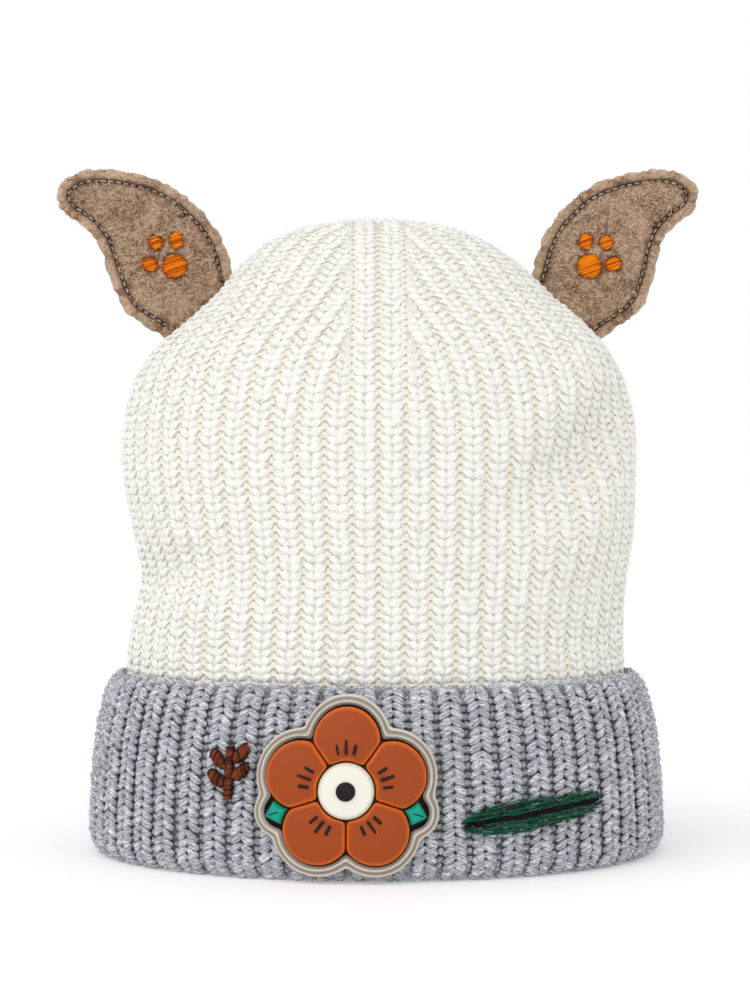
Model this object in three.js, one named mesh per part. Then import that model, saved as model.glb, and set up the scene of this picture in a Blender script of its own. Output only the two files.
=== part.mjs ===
// A baby's beanie in millimetres, +Z up, standing on its cuff with its front towards -Y.
// The crown is one rib-knit shell, open below, whose ribs run out at four darts as the dome closes.
// A rib-knit cuff folds round its hem, two padded ears with embroidered paws stand on its sides,
// and the cuff carries a moulded flower badge, an embroidered twig and an embroidered leaf.
import * as THREE from "three";

// Crown
const crownHeight = 182; // floor to the top of the dome
const crownHalfWidth = 74.7; // at its widest, seen from the front
const crownHalfDepth = 59; // at its widest, seen from the side
const crownHem = 14; // height of its lower edge, inside the cuff
const crownWall = 3;
const crownRibDepth = 1.2;
const ribsPerQuarter = 14; // from one dart to the next

// Cuff
const cuffHeight = 51.8;
const cuffReach = 11; // from the crown's hem out to the cuff's widest line
const cuffWidestHeight = 9;
const cuffTaper = 5.2; // how far it has leaned in by its top edge
const cuffPocket = 4.2; // space behind the turned-up part, at its foot
const cuffFold = 5.2; // thickness of the fold under the pocket
const cuffFootInset = 3.1; // from the crown's hem out to the flat foot's inner edge
const cuffInnerRound = 3.6; // height of the fold's inner rounding
const cuffRibDepth = 1.6;

// Ears
const earLength = 54; // square to the seam
const earWidth = 36.3;
const earEdgeThickness = 4;
const earMiddleThickness = 6.4;
const earForward = 3; // how far the tip leans towards the front
const earDrop = 16; // from the crown's top down to the seam's upper end
const earSeamRise = 18; // from the seam's lower end up to its upper end

// Flower badge, round the middle of its flower
const badgeHeight = 24.7;
const badgeAside = 8.5; // to the wearer's right of the front's middle
const petalDistance = 12.9;
const petalRadius = 9.1;
const petalCount = 5;
const petalRise = 1.5;
const flowerCentreRadius = 7.4;
const flowerCentreRise = 1.8;
const budRadius = 2.5;
const budRise = 0.6;
const leafTipDistance = 22.6;
const leafTipRadius = 4;
const badgeLine = 0.6; // dark line between the coloured fields
const badgeGroove = 0.9; // from the flower to the rim
const badgeRimWidth = 2.2;
const badgeRimRise = 2.6;
const badgeFloor = 0.9;
const badgeFieldRise = 0.5; // dark plate under the colours

// Embroidery
const threadRise = 0.8;
const twigHeight = 14.4;
const twigLeafLength = 6;
const twigLeafWidth = 3;
const twigStemWidth = 1.8;
const longLeafLength = 44;
const longLeafWidth = 8.4;
const longLeafTilt = 6.5; // degrees, rising away from the badge
const longLeafHeight = 17.6;
const longLeafRib = 1.5;
const twigSpace = 1.6; // from the badge's rim to the twig
const longLeafSpace = 5.4; // from the badge's rim to the long leaf

const seamGap = 0.3; // between pieces that are sewn or moulded together
const faceGap = 0.5; // between the cuff's ribs and what is bent round them

const degree = Math.PI / 180;
const quarterTurn = Math.PI / 2;
const up = new THREE.Vector3(0, 0, 1);

// The crown's sections: height from hem to top, and half sizes as shares of the widest.
const crownSections = [
  { height: 0.0, left: 0.972, right: 0.957, depth: 0.965 },
  { height: 0.208, left: 0.976, right: 0.955, depth: 0.965 },
  { height: 0.286, left: 0.966, right: 0.953, depth: 0.961 },
  { height: 0.369, left: 0.929, right: 0.961, depth: 0.962 },
  { height: 0.423, left: 0.935, right: 0.98, depth: 0.972 },
  { height: 0.488, left: 0.963, right: 0.996, depth: 0.986 },
  { height: 0.571, left: 0.993, right: 1.0, depth: 1.0 },
  { height: 0.643, left: 0.99, right: 0.998, depth: 0.994 },
  { height: 0.72, left: 0.95, right: 0.966, depth: 0.958 },
  { height: 0.775, left: 0.876, right: 0.903, depth: 0.9 },
  { height: 0.82, left: 0.762, right: 0.812, depth: 0.816 },
  { height: 0.865, left: 0.648, right: 0.69, depth: 0.71 },
  { height: 0.915, left: 0.551, right: 0.575, depth: 0.585 },
  { height: 0.958, left: 0.442, right: 0.443, depth: 0.45 },
  { height: 0.982, left: 0.325, right: 0.32, depth: 0.325 },
  { height: 0.996, left: 0.172, right: 0.165, depth: 0.17 },
  { height: 1.0, left: 0, right: 0, depth: 0 },
];
const widestSection = 6;
const innerSections = [15, 14, 13, 12, 10, 8, 6, 3, 0];

// Soft dents in the crown. Turn is in degrees from the front, to the right. Height is a share of
// the crown's height, the other lengths of its half width, and a negative depth is a bulge.
const crownDents = [
  { turn: 52, height: 0.64, tilt: 33, halfLength: 0.42, halfWidth: 0.12, depth: 0.07 },
  { turn: 52, height: 0.52, tilt: 33, halfLength: 0.25, halfWidth: 0.12, depth: -0.03 },
  { turn: 50, height: 0.74, tilt: 33, halfLength: 0.3, halfWidth: 0.12, depth: -0.02 },
  { turn: -62, height: 0.45, tilt: 5, halfLength: 0.32, halfWidth: 0.08, depth: 0.03 },
  { turn: -40, height: 0.39, tilt: 5, halfLength: 0.3, halfWidth: 0.1, depth: -0.012 },
  { turn: 8, height: 0.6, tilt: 0, halfLength: 0.12, halfWidth: 0.12, depth: 0.014 },
  { turn: 50, height: 0.34, tilt: 4, halfLength: 0.4, halfWidth: 0.1, depth: 0.018 },
];

// The cuff's section, from its foot up the outside: height as a share of the cuff's, and how far it
// stands back from the cuff's face, as a share of its reach. Share `ribbed` of the ribs shows there.
const cuffOutside = [
  { height: 0.0, back: 0.33, ribbed: 0.4 },
  { height: 0.04, back: 0.1, ribbed: 0.8 },
  { height: 0.1, back: 0.0, ribbed: 1 },
  { height: 0.4, back: 0.0, ribbed: 1 },
  { height: 0.72, back: 0.0, ribbed: 1 },
  { height: 0.91, back: 0.04, ribbed: 1 },
  { height: 0.975, back: 0.18, ribbed: 0.7 },
  { height: 1.0, back: 0.36, ribbed: 0.3 },
];
// Then down the pocket behind it: how far it stands off the crown, as a share of the pocket.
const cuffPocketSide = [
  { height: 0.97, off: 0.12 },
  { height: 0.88, off: 0 },
  { height: 0.5, off: 0.55 },
  { height: 0.14, off: 1 },
];

// The two ears: which side each stands on, its length as a share of the ear's, and the degrees
// between it and the upright.
const ears = [
  { label: "left", side: -1, length: 1, splay: 45.5 },
  { label: "right", side: 1, length: 0.95, splay: 42 },
];

// The ear's free edge from the seam's upper end, over the tip and back to its lower end.
const earEdge = [
  { along: 0.115, across: 0.454 },
  { along: 0.232, across: 0.517 },
  { along: 0.387, across: 0.542 },
  { along: 0.61, across: 0.494 },
  { along: 0.84, across: 0.294 },
  { along: 0.975, across: 0.08 },
  { along: 0.992, across: -0.14 },
  { along: 0.893, across: -0.245 },
  { along: 0.733, across: -0.214 },
  { along: 0.62, across: -0.24 },
  { along: 0.453, across: -0.368 },
  { along: 0.29, across: -0.459 },
  { along: 0.15, across: -0.436 },
];
const earMiddle = { along: 0.4, across: 0.06 };
// Rings of the ear from its edge inwards: a rolled edge, the stitched groove and the padded field.
const earRings = [
  { share: 1.0, thick: 0.72 },
  { share: 0.95, thick: 1.0 },
  { share: 0.84, thick: 0.7 },
];
const earFieldShare = 0.7; // inside this ring the field is flat

// The paw on each ear, in shares of the ear's length and width. Turn is in degrees from the ear's
// own length.
const pawPads = [
  { name: "pad", along: 0.253, across: 0.072, halfLength: 0.067, halfWidth: 0.1, turn: 45 },
  { name: "toe_1", along: 0.354, across: -0.056, halfLength: 0.047, halfWidth: 0.052, turn: 62 },
  { name: "toe_2", along: 0.414, across: 0.1, halfLength: 0.04, halfWidth: 0.056, turn: 20 },
  { name: "toe_3", along: 0.343, across: 0.23, halfLength: 0.049, halfWidth: 0.052, turn: -45 },
];

// Points round a small pad, round a round piece of the badge, and along the ear's free edge.
const padSamples = 10;
const roundSamples = 18;
const earSamples = 32;

// A stitched or moulded pad's dome, from its middle out, as shares of its outline and its rise.
const padDome = [
  { share: 0, rise: 1 },
  { share: 0.72, rise: 0.94 },
  { share: 1, rise: 0.45 },
];

// The long leaf's half width along its length.
const longLeafStations = [
  { along: 0, half: 0.3 },
  { along: 0.06, half: 0.62 },
  { along: 0.18, half: 0.9 },
  { along: 0.32, half: 1 },
  { along: 0.46, half: 0.98 },
  { along: 0.6, half: 0.9 },
  { along: 0.74, half: 0.84 },
  { along: 0.87, half: 0.74 },
  { along: 0.96, half: 0.5 },
  { along: 1, half: 0.28 },
];

// The twig's leaves: height as a share of the twig's, side, and lean in degrees from the stem.
const twigLeaves = [
  { height: 0.26, side: -1, lean: 52 },
  { height: 0.4, side: 1, lean: 50 },
  { height: 0.6, side: -1, lean: 44 },
  { height: 0.72, side: 1, lean: 42 },
];

// The badge's leaves show between two petals: half width by distance from the flower's middle.
const badgeLeafSides = [
  { along: 0.0, half: 0.0 },
  { along: 0.22, half: 0.38 },
  { along: 0.45, half: 0.84 },
  { along: 0.72, half: 0.74 },
  { along: 0.92, half: 0.4 },
  { along: 1.0, half: 0.0 },
];

// The oval of the hat at a turn from the front, for the half sizes of a section.
function ovalPoint(turn, section) {
  const half = Math.sin(turn) < 0 ? section.left : section.right;
  return new THREE.Vector3(
    half * Math.sin(turn),
    -section.depth * Math.cos(turn),
    section.height,
  );
}

// The turn that lies a share of the way round the oval, measured along its edge.
function evenTurn(share) {
  const flatness = (crownHalfWidth - crownHalfDepth) / (crownHalfWidth + crownHalfDepth);
  return share - (flatness / 2) * Math.sin(2 * share);
}

const crownSpan = crownHeight - crownHem;
const crownCurves = ["left", "right", "depth"].map((side) => {
  const full = side === "depth" ? crownHalfDepth : crownHalfWidth;
  const points = crownSections.map(
    (row) => new THREE.Vector3(full * row[side], 0, crownHem + crownSpan * row.height),
  );
  return new THREE.CatmullRomCurve3(points, false, "catmullrom", 0.5);
});

// The half sizes of the crown at a step along its sections, from 0 at the hem to 1 at the top.
function crownSection(step) {
  const [left, right, depth] = crownCurves.map((curve) => curve.getPoint(step));
  return { left: left.x, right: right.x, depth: depth.x, height: left.z };
}

function dentDepth(turn, height) {
  let depth = 0;
  for (const dent of crownDents) {
    const aside = Math.atan2(
      Math.sin(turn - dent.turn * degree),
      Math.cos(turn - dent.turn * degree),
    );
    const arc = (aside * (crownHalfWidth + crownHalfDepth)) / 2;
    const rise = height - dent.height * crownHeight;
    const tilt = dent.tilt * degree;
    const along = arc * Math.cos(tilt) + rise * Math.sin(tilt);
    const across = rise * Math.cos(tilt) - arc * Math.sin(tilt);
    const fade =
      (along / (dent.halfLength * crownHalfWidth)) ** 2 +
      (across / (dent.halfWidth * crownHalfWidth)) ** 2;
    depth += dent.depth * crownHalfWidth * Math.exp(-fade);
  }
  return depth;
}

// A point `out` from the crown's smooth outer surface, which touches the crests of its ribs.
function crownPoint(turn, step, out) {
  const nudge = 0.002;
  const section = crownSection(step);
  const point = ovalPoint(turn, section);
  if (step > 1 - nudge) return point.addScaledVector(up, out);
  const round = ovalPoint(turn + nudge, section).sub(ovalPoint(turn - nudge, section));
  const rise = ovalPoint(turn, crownSection(step + nudge)).sub(
    ovalPoint(turn, crownSection(Math.max(0, step - nudge))),
  );
  const normal = round.cross(rise).normalize();
  return point.addScaledVector(normal, out - dentDepth(turn, point.z));
}

// The step along the crown's sections that lies at a height.
function crownStep(height) {
  let low = 0;
  let high = 1;
  while (high - low > 1e-6) {
    const middle = (low + high) / 2;
    if (crownSection(middle).height < height) low = middle;
    else high = middle;
  }
  return low;
}

// How many ribs of each quarter are left at a step: the rest have run out at the darts.
function liveRibs(step) {
  const widest = crownSection(widestSection / (crownSections.length - 1));
  const section = crownSection(step);
  if (section.height <= widest.height) return ribsPerQuarter;
  const girth = (s) => (s.left + s.right) / 2 + s.depth;
  return Math.max(2, Math.min(1, girth(section) / girth(widest)) * ribsPerQuarter);
}

// The rib lines round the hat, half a rib apart. The first and last rib of a quarter are the dart's.
// Those between run parallel to the quarter's middle, so the outer ones stop at the dart.
function ribLines(live) {
  const lines = [];
  const side = ribsPerQuarter / 2;
  const reach = live / 2 - 1;
  for (let quarter = 0; quarter < 4; quarter += 1) {
    for (let half = 0; half < 2 * ribsPerQuarter; half += 1) {
      const aside = half / 2 - side;
      const inDart = Math.abs(aside) >= side - 1;
      const place = inDart
        ? Math.sign(aside) * (live / 2 - side + Math.abs(aside))
        : THREE.MathUtils.clamp(aside, -reach, reach);
      lines.push({
        turn: evenTurn((quarter + 0.5 + place / live) * quarterTurn),
        valley: half % 2 === 0 || (!inDart && Math.abs(aside) >= reach),
      });
    }
  }
  return lines;
}

// A closed surface through rings of as many points each. Faces that have shrunk to a line are left
// out, so a ring may close to one point. `around` joins the last ring to the first.
function skin(rings, around = false) {
  const corners = [];
  const numbers = new Map();
  const numberOf = (point) => {
    const key = point.toArray().map((value) => value.toFixed(4)).join();
    if (!numbers.has(key)) {
      numbers.set(key, numbers.size);
      corners.push(...point.toArray());
    }
    return numbers.get(key);
  };
  const rows = rings.map((ring) => ring.map(numberOf));
  const faces = [];
  const addFace = (a, b, c) => {
    if (a !== b && b !== c && c !== a) faces.push(a, b, c);
  };
  for (let i = 0; i < rows.length - (around ? 0 : 1); i += 1) {
    const here = rows[i];
    const next = rows[(i + 1) % rows.length];
    for (let j = 0; j < here.length; j += 1) {
      const k = (j + 1) % here.length;
      addFace(here[j], next[j], next[k]);
      addFace(here[j], next[k], here[k]);
    }
  }
  const geometry = new THREE.BufferGeometry();
  geometry.setAttribute("position", new THREE.Float32BufferAttribute(corners, 3));
  geometry.setIndex(volumeOf(corners, faces) < 0 ? faces.reverse() : faces);
  geometry.computeVertexNormals();
  return geometry;
}

function volumeOf(corners, faces) {
  const corner = (number) => new THREE.Vector3().fromArray(corners, 3 * number);
  let volume = 0;
  for (let i = 0; i < faces.length; i += 3) {
    const [a, b, c] = [corner(faces[i]), corner(faces[i + 1]), corner(faces[i + 2])];
    volume += a.dot(b.cross(c)) / 6;
  }
  return volume;
}

function crownGeometry() {
  const last = crownSections.length - 1;
  const ring = (row, out) => {
    const step = row / last;
    return ribLines(liveRibs(step)).map((line) => crownPoint(line.turn, step, out(line)));
  };
  const outside = (line) => (line.valley ? -crownRibDepth : 0);
  const inside = () => -crownWall;
  const top = ring(last, () => 0);
  const topInside = ring(last, inside);
  const rings = [topInside];
  for (const row of innerSections) rings.push(ring(row, inside));
  for (let row = 0; row < last; row += 1) rings.push(ring(row, outside));
  rings.push(top);
  return skin(rings);
}

const hemSection = crownSection(0);

// A section of the cuff, `out` beyond the crown's hem.
function cuffSection(height, out) {
  return {
    left: hemSection.left + out,
    right: hemSection.right + out,
    depth: hemSection.depth + out,
    height,
  };
}

// A point `out` from the smooth face that touches the crests of the cuff's ribs.
function cuffFace(turn, height, out) {
  const lean = (height - cuffWidestHeight) / (cuffHeight - cuffWidestHeight);
  return ovalPoint(turn, cuffSection(height, cuffReach - cuffTaper * lean * lean + out));
}

function cuffGeometry() {
  const lines = ribLines(ribsPerQuarter);
  const rings = cuffOutside.map((row) =>
    lines.map(({ turn, valley }) =>
      cuffFace(
        turn,
        row.height * cuffHeight,
        -row.back * cuffReach - (valley ? row.ribbed * cuffRibDepth : 0),
      ),
    ),
  );
  for (const row of cuffPocketSide) {
    const step = crownStep(row.height * cuffHeight);
    const out = seamGap + row.off * cuffPocket;
    rings.push(
      lines.map(({ turn }) => crownPoint(turn, step, out).setZ(row.height * cuffHeight)),
    );
  }
  const insideLeg = [
    { height: cuffFold, out: seamGap },
    { height: crownHem - seamGap, out: 0 },
    { height: crownHem - seamGap, out: -crownWall },
    { height: cuffInnerRound, out: -crownWall },
    { height: 0, out: cuffFootInset },
  ];
  for (const { height, out } of insideLeg) {
    rings.push(lines.map(({ turn }) => ovalPoint(turn, cuffSection(height, out))));
  }
  return skin(rings, true);
}

const earSeatHigh = crownHeight - earDrop;
const earSeatLow = earSeatHigh - earSeamRise;

// The middle of the ear's seam and the ear's own directions.
function earFrame({ side, length, splay }) {
  const middleHeight = (earSeatLow + earSeatHigh) / 2;
  const seat = crownPoint(side * quarterTurn, crownStep(middleHeight), seamGap);
  const lean = splay * degree;
  return {
    seat,
    length: length * earLength,
    along: new THREE.Vector3(side * Math.sin(lean), 0, Math.cos(lean)),
    across: new THREE.Vector3(-side * Math.cos(lean), 0, Math.sin(lean)),
  };
}

// A point of the ear's plane: x along the ear, y across it, z towards the back of the hat.
function earPoint({ seat, length, along, across }, x, y, z) {
  const lean = earForward * Math.max(0, x / length) ** 2;
  return seat
    .clone()
    .addScaledVector(along, x)
    .addScaledVector(across, y)
    .add(new THREE.Vector3(0, z - lean, 0));
}

// The ear's outline in its own plane: the free edge, then the seam along the crown's surface.
function earOutline(ear) {
  const frame = earFrame(ear);
  const inEar = (point) => {
    const from = point.clone().sub(frame.seat);
    return new THREE.Vector2(from.dot(frame.along), from.dot(frame.across));
  };
  const seamPoints = 5;
  const seam = [];
  for (let i = 0; i < seamPoints; i += 1) {
    const height = THREE.MathUtils.lerp(earSeatLow, earSeatHigh, i / (seamPoints - 1));
    seam.push(inEar(crownPoint(ear.side * quarterTurn, crownStep(height), seamGap)));
  }
  const edge = earEdge.map(
    ({ along, across }) => new THREE.Vector2(along * frame.length, across * earWidth),
  );
  const free = new THREE.SplineCurve([seam.at(-1), ...edge, seam[0]]);
  return [...free.getPoints(earSamples).slice(0, -1), ...seam.slice(0, -1)];
}

// A closed outline drawn in towards a middle point.
function shrink(outline, middle, share) {
  return outline.map((point) => new THREE.Vector2().lerpVectors(middle, point, share));
}

function earGeometry(ear) {
  const frame = earFrame(ear);
  const outline = earOutline(ear);
  const middle = new THREE.Vector2(earMiddle.along * frame.length, earMiddle.across * earWidth);
  const field = earMiddleThickness / 2;
  const front = [
    ...earRings.map(({ share, thick }) => ({ share, half: (thick * earEdgeThickness) / 2 })),
    { share: earFieldShare, half: field },
    { share: 0, half: field },
  ];
  const ring = ({ share, half }, way) =>
    shrink(outline, middle, share).map(({ x, y }) => earPoint(frame, x, y, way * half));
  return skin([
    ...front.map((row) => ring(row, -1)).reverse(),
    ...front.map((row) => ring(row, 1)),
  ]);
}

// A pad on a face: domed in front, flat behind, `foot` off the face. `place` maps x, y and the
// height over the face to a point.
function padGeometry(outline, middle, foot, rise, place) {
  const ring = (share, height) =>
    shrink(outline, middle, share).map(({ x, y }) => place(x, y, height));
  const domed = padDome.map((row) => ring(row.share, foot + rise * row.rise));
  return skin([...domed, ring(1, foot), ring(0, foot)]);
}

// An oval outline. Turn is in radians.
function oval(middle, halfLength, halfWidth, turn, samples) {
  const points = [];
  for (let i = 0; i < samples; i += 1) {
    const angle = (2 * Math.PI * i) / samples;
    const point = new THREE.Vector2(halfLength * Math.cos(angle), halfWidth * Math.sin(angle));
    points.push(point.rotateAround(new THREE.Vector2(), turn).add(middle));
  }
  return points;
}

function pawGeometry(ear, pad) {
  const frame = earFrame(ear);
  const middle = new THREE.Vector2(pad.along * frame.length, pad.across * earWidth);
  const outline = oval(
    middle,
    pad.halfLength * earLength,
    pad.halfWidth * earWidth,
    pad.turn * degree,
    padSamples,
  );
  const foot = earMiddleThickness / 2 + seamGap;
  return padGeometry(outline, middle, foot, threadRise, (x, y, height) =>
    earPoint(frame, x, y, -height),
  );
}

// Bends what lies flat round the cuff: x along its face from the front's middle, y its height.
function onCuff(x, y, out) {
  const radius = (hemSection.left + hemSection.right) / 4 + hemSection.depth / 2 + cuffReach;
  return cuffFace(evenTurn(x / radius), y, out);
}

const badgeMiddle = new THREE.Vector2(-badgeAside, badgeHeight);
const petalStep = (2 * Math.PI) / petalCount;
const petalAngles = Array.from({ length: petalCount }, (_, i) => quarterTurn + i * petalStep);
const badgeLeafAngles = [-0.5, 0.5].map((side) => -quarterTurn + side * 2 * petalStep);
const badgeSamples = 40;

// How far a ray at `angle` runs from the flower's middle to the far side of a disc.
function discReach(angle, discAngle, distance, radius) {
  const aside = distance * Math.sin(angle - discAngle);
  const ahead = distance * Math.cos(angle - discAngle);
  return Math.abs(aside) < radius ? ahead + Math.sqrt(radius ** 2 - aside ** 2) : 0;
}

// The outline round all petals and leaf tips, `out` beyond them.
function flowerOutline(out) {
  const points = [];
  for (let i = 0; i < badgeSamples; i += 1) {
    const angle = quarterTurn + (2 * Math.PI * i) / badgeSamples;
    const reach = Math.max(
      ...petalAngles.map((at) => discReach(angle, at, petalDistance, petalRadius + out)),
      ...badgeLeafAngles.map((at) =>
        discReach(angle, at, leafTipDistance - leafTipRadius, leafTipRadius + out),
      ),
    );
    points.push(
      new THREE.Vector2(reach * Math.cos(angle), reach * Math.sin(angle)).add(badgeMiddle),
    );
  }
  return points;
}

function badgeTrayGeometry() {
  const rimRound = badgeRimWidth / 4;
  const outer = badgeGroove + badgeRimWidth;
  const floorRings = [0, 0.5];
  const floor = flowerOutline(badgeGroove);
  const foot = flowerOutline(outer);
  const ring = (points, height) => points.map(({ x, y }) => onCuff(x, y, faceGap + height));
  return skin([
    ...floorRings.map((share) => ring(shrink(floor, badgeMiddle, share), badgeFloor)),
    ring(floor, badgeFloor),
    ring(flowerOutline(badgeGroove + rimRound), badgeRimRise),
    ring(flowerOutline(outer - rimRound), badgeRimRise),
    ring(foot, badgeFloor),
    ring(foot, 0),
    ...floorRings.map((share) => ring(shrink(foot, badgeMiddle, share), 0)).reverse(),
  ]);
}

const fieldFoot = faceGap + badgeFloor + seamGap;
const colourFoot = fieldFoot + badgeFieldRise + seamGap;

function badgeFieldGeometry() {
  const outline = flowerOutline(0);
  const ring = (share, out) =>
    shrink(outline, badgeMiddle, share).map(({ x, y }) => onCuff(x, y, out));
  const shares = [0, 0.5, 1];
  return skin([
    ...shares.map((share) => ring(share, fieldFoot + badgeFieldRise)),
    ...shares.map((share) => ring(share, fieldFoot)).reverse(),
  ]);
}

// A petal's outline: its disc, cut back from its neighbours and from the flower's centre.
function petalGeometry(angle) {
  const samples = 16;
  const half = Math.PI / petalCount;
  const toSide = petalDistance * Math.sin(half) - badgeLine / 2;
  const clear = flowerCentreRadius + badgeLine;
  const outline = [];
  const middle = new THREE.Vector2(petalDistance, 0);
  for (let i = 0; i < samples; i += 1) {
    const way = (2 * Math.PI * i) / samples;
    let reach = petalRadius - badgeLine;
    for (const side of [-1, 1]) {
      const towards = Math.cos(way - side * (quarterTurn + half));
      if (towards > 0) reach = Math.min(reach, toSide / towards);
    }
    const aside = petalDistance * Math.sin(way);
    if (Math.cos(way) < 0 && Math.abs(aside) < clear) {
      const near = -petalDistance * Math.cos(way) - Math.sqrt(clear ** 2 - aside ** 2);
      reach = Math.min(reach, near);
    }
    outline.push(new THREE.Vector2(reach * Math.cos(way), reach * Math.sin(way)).add(middle));
  }
  const turned = (point) => point.rotateAround(new THREE.Vector2(), angle).add(badgeMiddle);
  return padGeometry(outline.map(turned), turned(middle), colourFoot, petalRise, onCuff);
}

function badgeLeafGeometry(angle) {
  const side = Math.PI / petalCount;
  const notch =
    petalDistance * Math.cos(side) +
    Math.sqrt(petalRadius ** 2 - (petalDistance * Math.sin(side)) ** 2);
  const start = notch + badgeLine;
  const end = leafTipDistance - badgeLine;
  const edge = (way) =>
    badgeLeafSides.map(
      ({ along, half }) =>
        new THREE.Vector2(
          THREE.MathUtils.lerp(start, end, along),
          way * half * (leafTipRadius - badgeLine),
        ),
    );
  const outline = [...edge(-1).slice(0, -1), ...edge(1).reverse().slice(0, -1)];
  const turned = (point) => point.rotateAround(new THREE.Vector2(), angle).add(badgeMiddle);
  const middle = turned(new THREE.Vector2((start + end) / 2, 0));
  return padGeometry(outline.map(turned), middle, colourFoot, petalRise, onCuff);
}

function flowerCentreGeometry() {
  const outline = oval(badgeMiddle, flowerCentreRadius, flowerCentreRadius, 0, roundSamples);
  return padGeometry(outline, badgeMiddle, colourFoot, flowerCentreRise, onCuff);
}

function budGeometry() {
  const outline = oval(badgeMiddle, budRadius, budRadius, 0, padSamples);
  const foot = colourFoot + flowerCentreRise + seamGap;
  return padGeometry(outline, badgeMiddle, foot, budRise, onCuff);
}

// A flat ribbon on the cuff through stations, each with its lower and upper edge.
function ribbonGeometry(stations, rise) {
  const foot = faceGap;
  const rings = stations.map(({ low, high }) => [
    onCuff(low.x, low.y, foot),
    onCuff(high.x, high.y, foot),
    onCuff(high.x, high.y, foot + rise),
    onCuff(low.x, low.y, foot + rise),
  ]);
  const cap = (ring) => {
    const middle = ring.reduce((sum, point) => sum.add(point), new THREE.Vector3());
    return ring.map(() => middle.clone().divideScalar(ring.length));
  };
  const lastRing = rings[rings.length - 1];
  return skin([cap(rings[0]), ...rings, cap(lastRing)]);
}

const badgeReachSide = leafTipDistance + badgeGroove + badgeRimWidth;

// One half of the long leaf, above (1) or below (-1) its rib, or the rib itself (0).
function longLeafGeometry(half) {
  const start = new THREE.Vector2(badgeMiddle.x + badgeReachSide + longLeafSpace, longLeafHeight);
  const tilt = longLeafTilt * degree;
  const middle = longLeafLength / 2;
  const at = (along, aside) =>
    new THREE.Vector2(along - middle, aside)
      .rotateAround(new THREE.Vector2(), tilt)
      .add(start)
      .add(new THREE.Vector2(middle, 0));
  const inner = longLeafRib / 2 + (half === 0 ? 0 : seamGap);
  const stations = longLeafStations.map((row) => {
    const along = row.along * longLeafLength;
    const edge = Math.max((row.half * longLeafWidth) / 2, inner + seamGap);
    const [low, high] = half === 0 ? [-inner, inner] : [inner, edge].map((v) => v * half);
    return { low: at(along, low), high: at(along, high) };
  });
  return ribbonGeometry(stations, threadRise);
}

const twigMiddle = new THREE.Vector2(
  badgeMiddle.x - badgeReachSide - twigSpace - twigLeafLength,
  badgeHeight + twigHeight / 4,
);

function twigStemGeometry() {
  const steps = 4;
  const half = twigStemWidth / 2;
  const stations = [];
  for (let i = 0; i <= steps; i += 1) {
    const y = twigMiddle.y + (i / steps - 0.5) * twigHeight;
    stations.push({
      low: new THREE.Vector2(twigMiddle.x - half, y),
      high: new THREE.Vector2(twigMiddle.x + half, y),
    });
  }
  return ribbonGeometry(stations, threadRise);
}

function twigLeafGeometry({ height, side, lean }) {
  const turn = quarterTurn - side * lean * degree;
  const halfLength = twigLeafLength / 2;
  const halfWidth = twigLeafWidth / 2;
  const reach = Math.hypot(halfLength * Math.cos(turn), halfWidth * Math.sin(turn));
  const middle = new THREE.Vector2(
    twigMiddle.x + side * (twigStemWidth / 2 + seamGap + reach),
    twigMiddle.y + (height - 0.5) * twigHeight + halfLength * Math.sin(turn),
  );
  const outline = oval(middle, halfLength, halfWidth, turn, padSamples);
  return padGeometry(outline, middle, faceGap, threadRise, onCuff);
}

const finishes = {
  whiteKnit: { color: 0xf3f0e6, roughness: 0.95 },
  greyKnit: { color: 0xa4a7ae, roughness: 0.95 },
  felt: { color: 0x9c7f68, roughness: 1 },
  orangeThread: { color: 0xe07a10, roughness: 0.5 },
  brownThread: { color: 0x6b3214, roughness: 0.5 },
  greenThread: { color: 0x07553a, roughness: 0.5 },
  darkThread: { color: 0x1e1310, roughness: 0.5 },
  rimRubber: { color: 0xb3aba2, roughness: 0.5 },
  darkRubber: { color: 0x1c1512, roughness: 0.5 },
  brownRubber: { color: 0xa65326, roughness: 0.55 },
  creamRubber: { color: 0xefeee0, roughness: 0.55 },
  tealRubber: { color: 0x079a86, roughness: 0.55 },
};

const hat = new THREE.Group();

function addPiece(name, geometry, finish) {
  const material = new THREE.MeshStandardMaterial({ ...finishes[finish], metalness: 0 });
  const piece = new THREE.Mesh(geometry, material);
  piece.name = name;
  hat.add(piece);
}

addPiece("crown", crownGeometry(), "whiteKnit");
addPiece("cuff", cuffGeometry(), "greyKnit");

for (const ear of ears) {
  addPiece(`ear_${ear.label}`, earGeometry(ear), "felt");
  for (const pad of pawPads) {
    addPiece(`paw_${ear.label}_${pad.name}`, pawGeometry(ear, pad), "orangeThread");
  }
}

addPiece("badge_tray", badgeTrayGeometry(), "rimRubber");
addPiece("badge_field", badgeFieldGeometry(), "darkRubber");
petalAngles.forEach((angle, i) => {
  addPiece(`badge_petal_${i + 1}`, petalGeometry(angle), "brownRubber");
});
badgeLeafAngles.forEach((angle, i) => {
  addPiece(`badge_leaf_${i + 1}`, badgeLeafGeometry(angle), "tealRubber");
});
addPiece("badge_centre", flowerCentreGeometry(), "creamRubber");
addPiece("badge_bud", budGeometry(), "darkRubber");

addPiece("twig_stem", twigStemGeometry(), "brownThread");
twigLeaves.forEach((leaf, i) => {
  addPiece(`twig_leaf_${i + 1}`, twigLeafGeometry(leaf), "brownThread");
});

addPiece("long_leaf_upper", longLeafGeometry(1), "greenThread");
addPiece("long_leaf_lower", longLeafGeometry(-1), "greenThread");
addPiece("long_leaf_rib", longLeafGeometry(0), "darkThread");

// The origin lies on the floor, under the middle of the whole hat.
const extent = new THREE.Box3().setFromObject(hat);
const middleOfHat = extent.getCenter(new THREE.Vector3());
hat.position.set(-middleOfHat.x, -middleOfHat.y, -extent.min.z);

export default hat;
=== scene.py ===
import math

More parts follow.
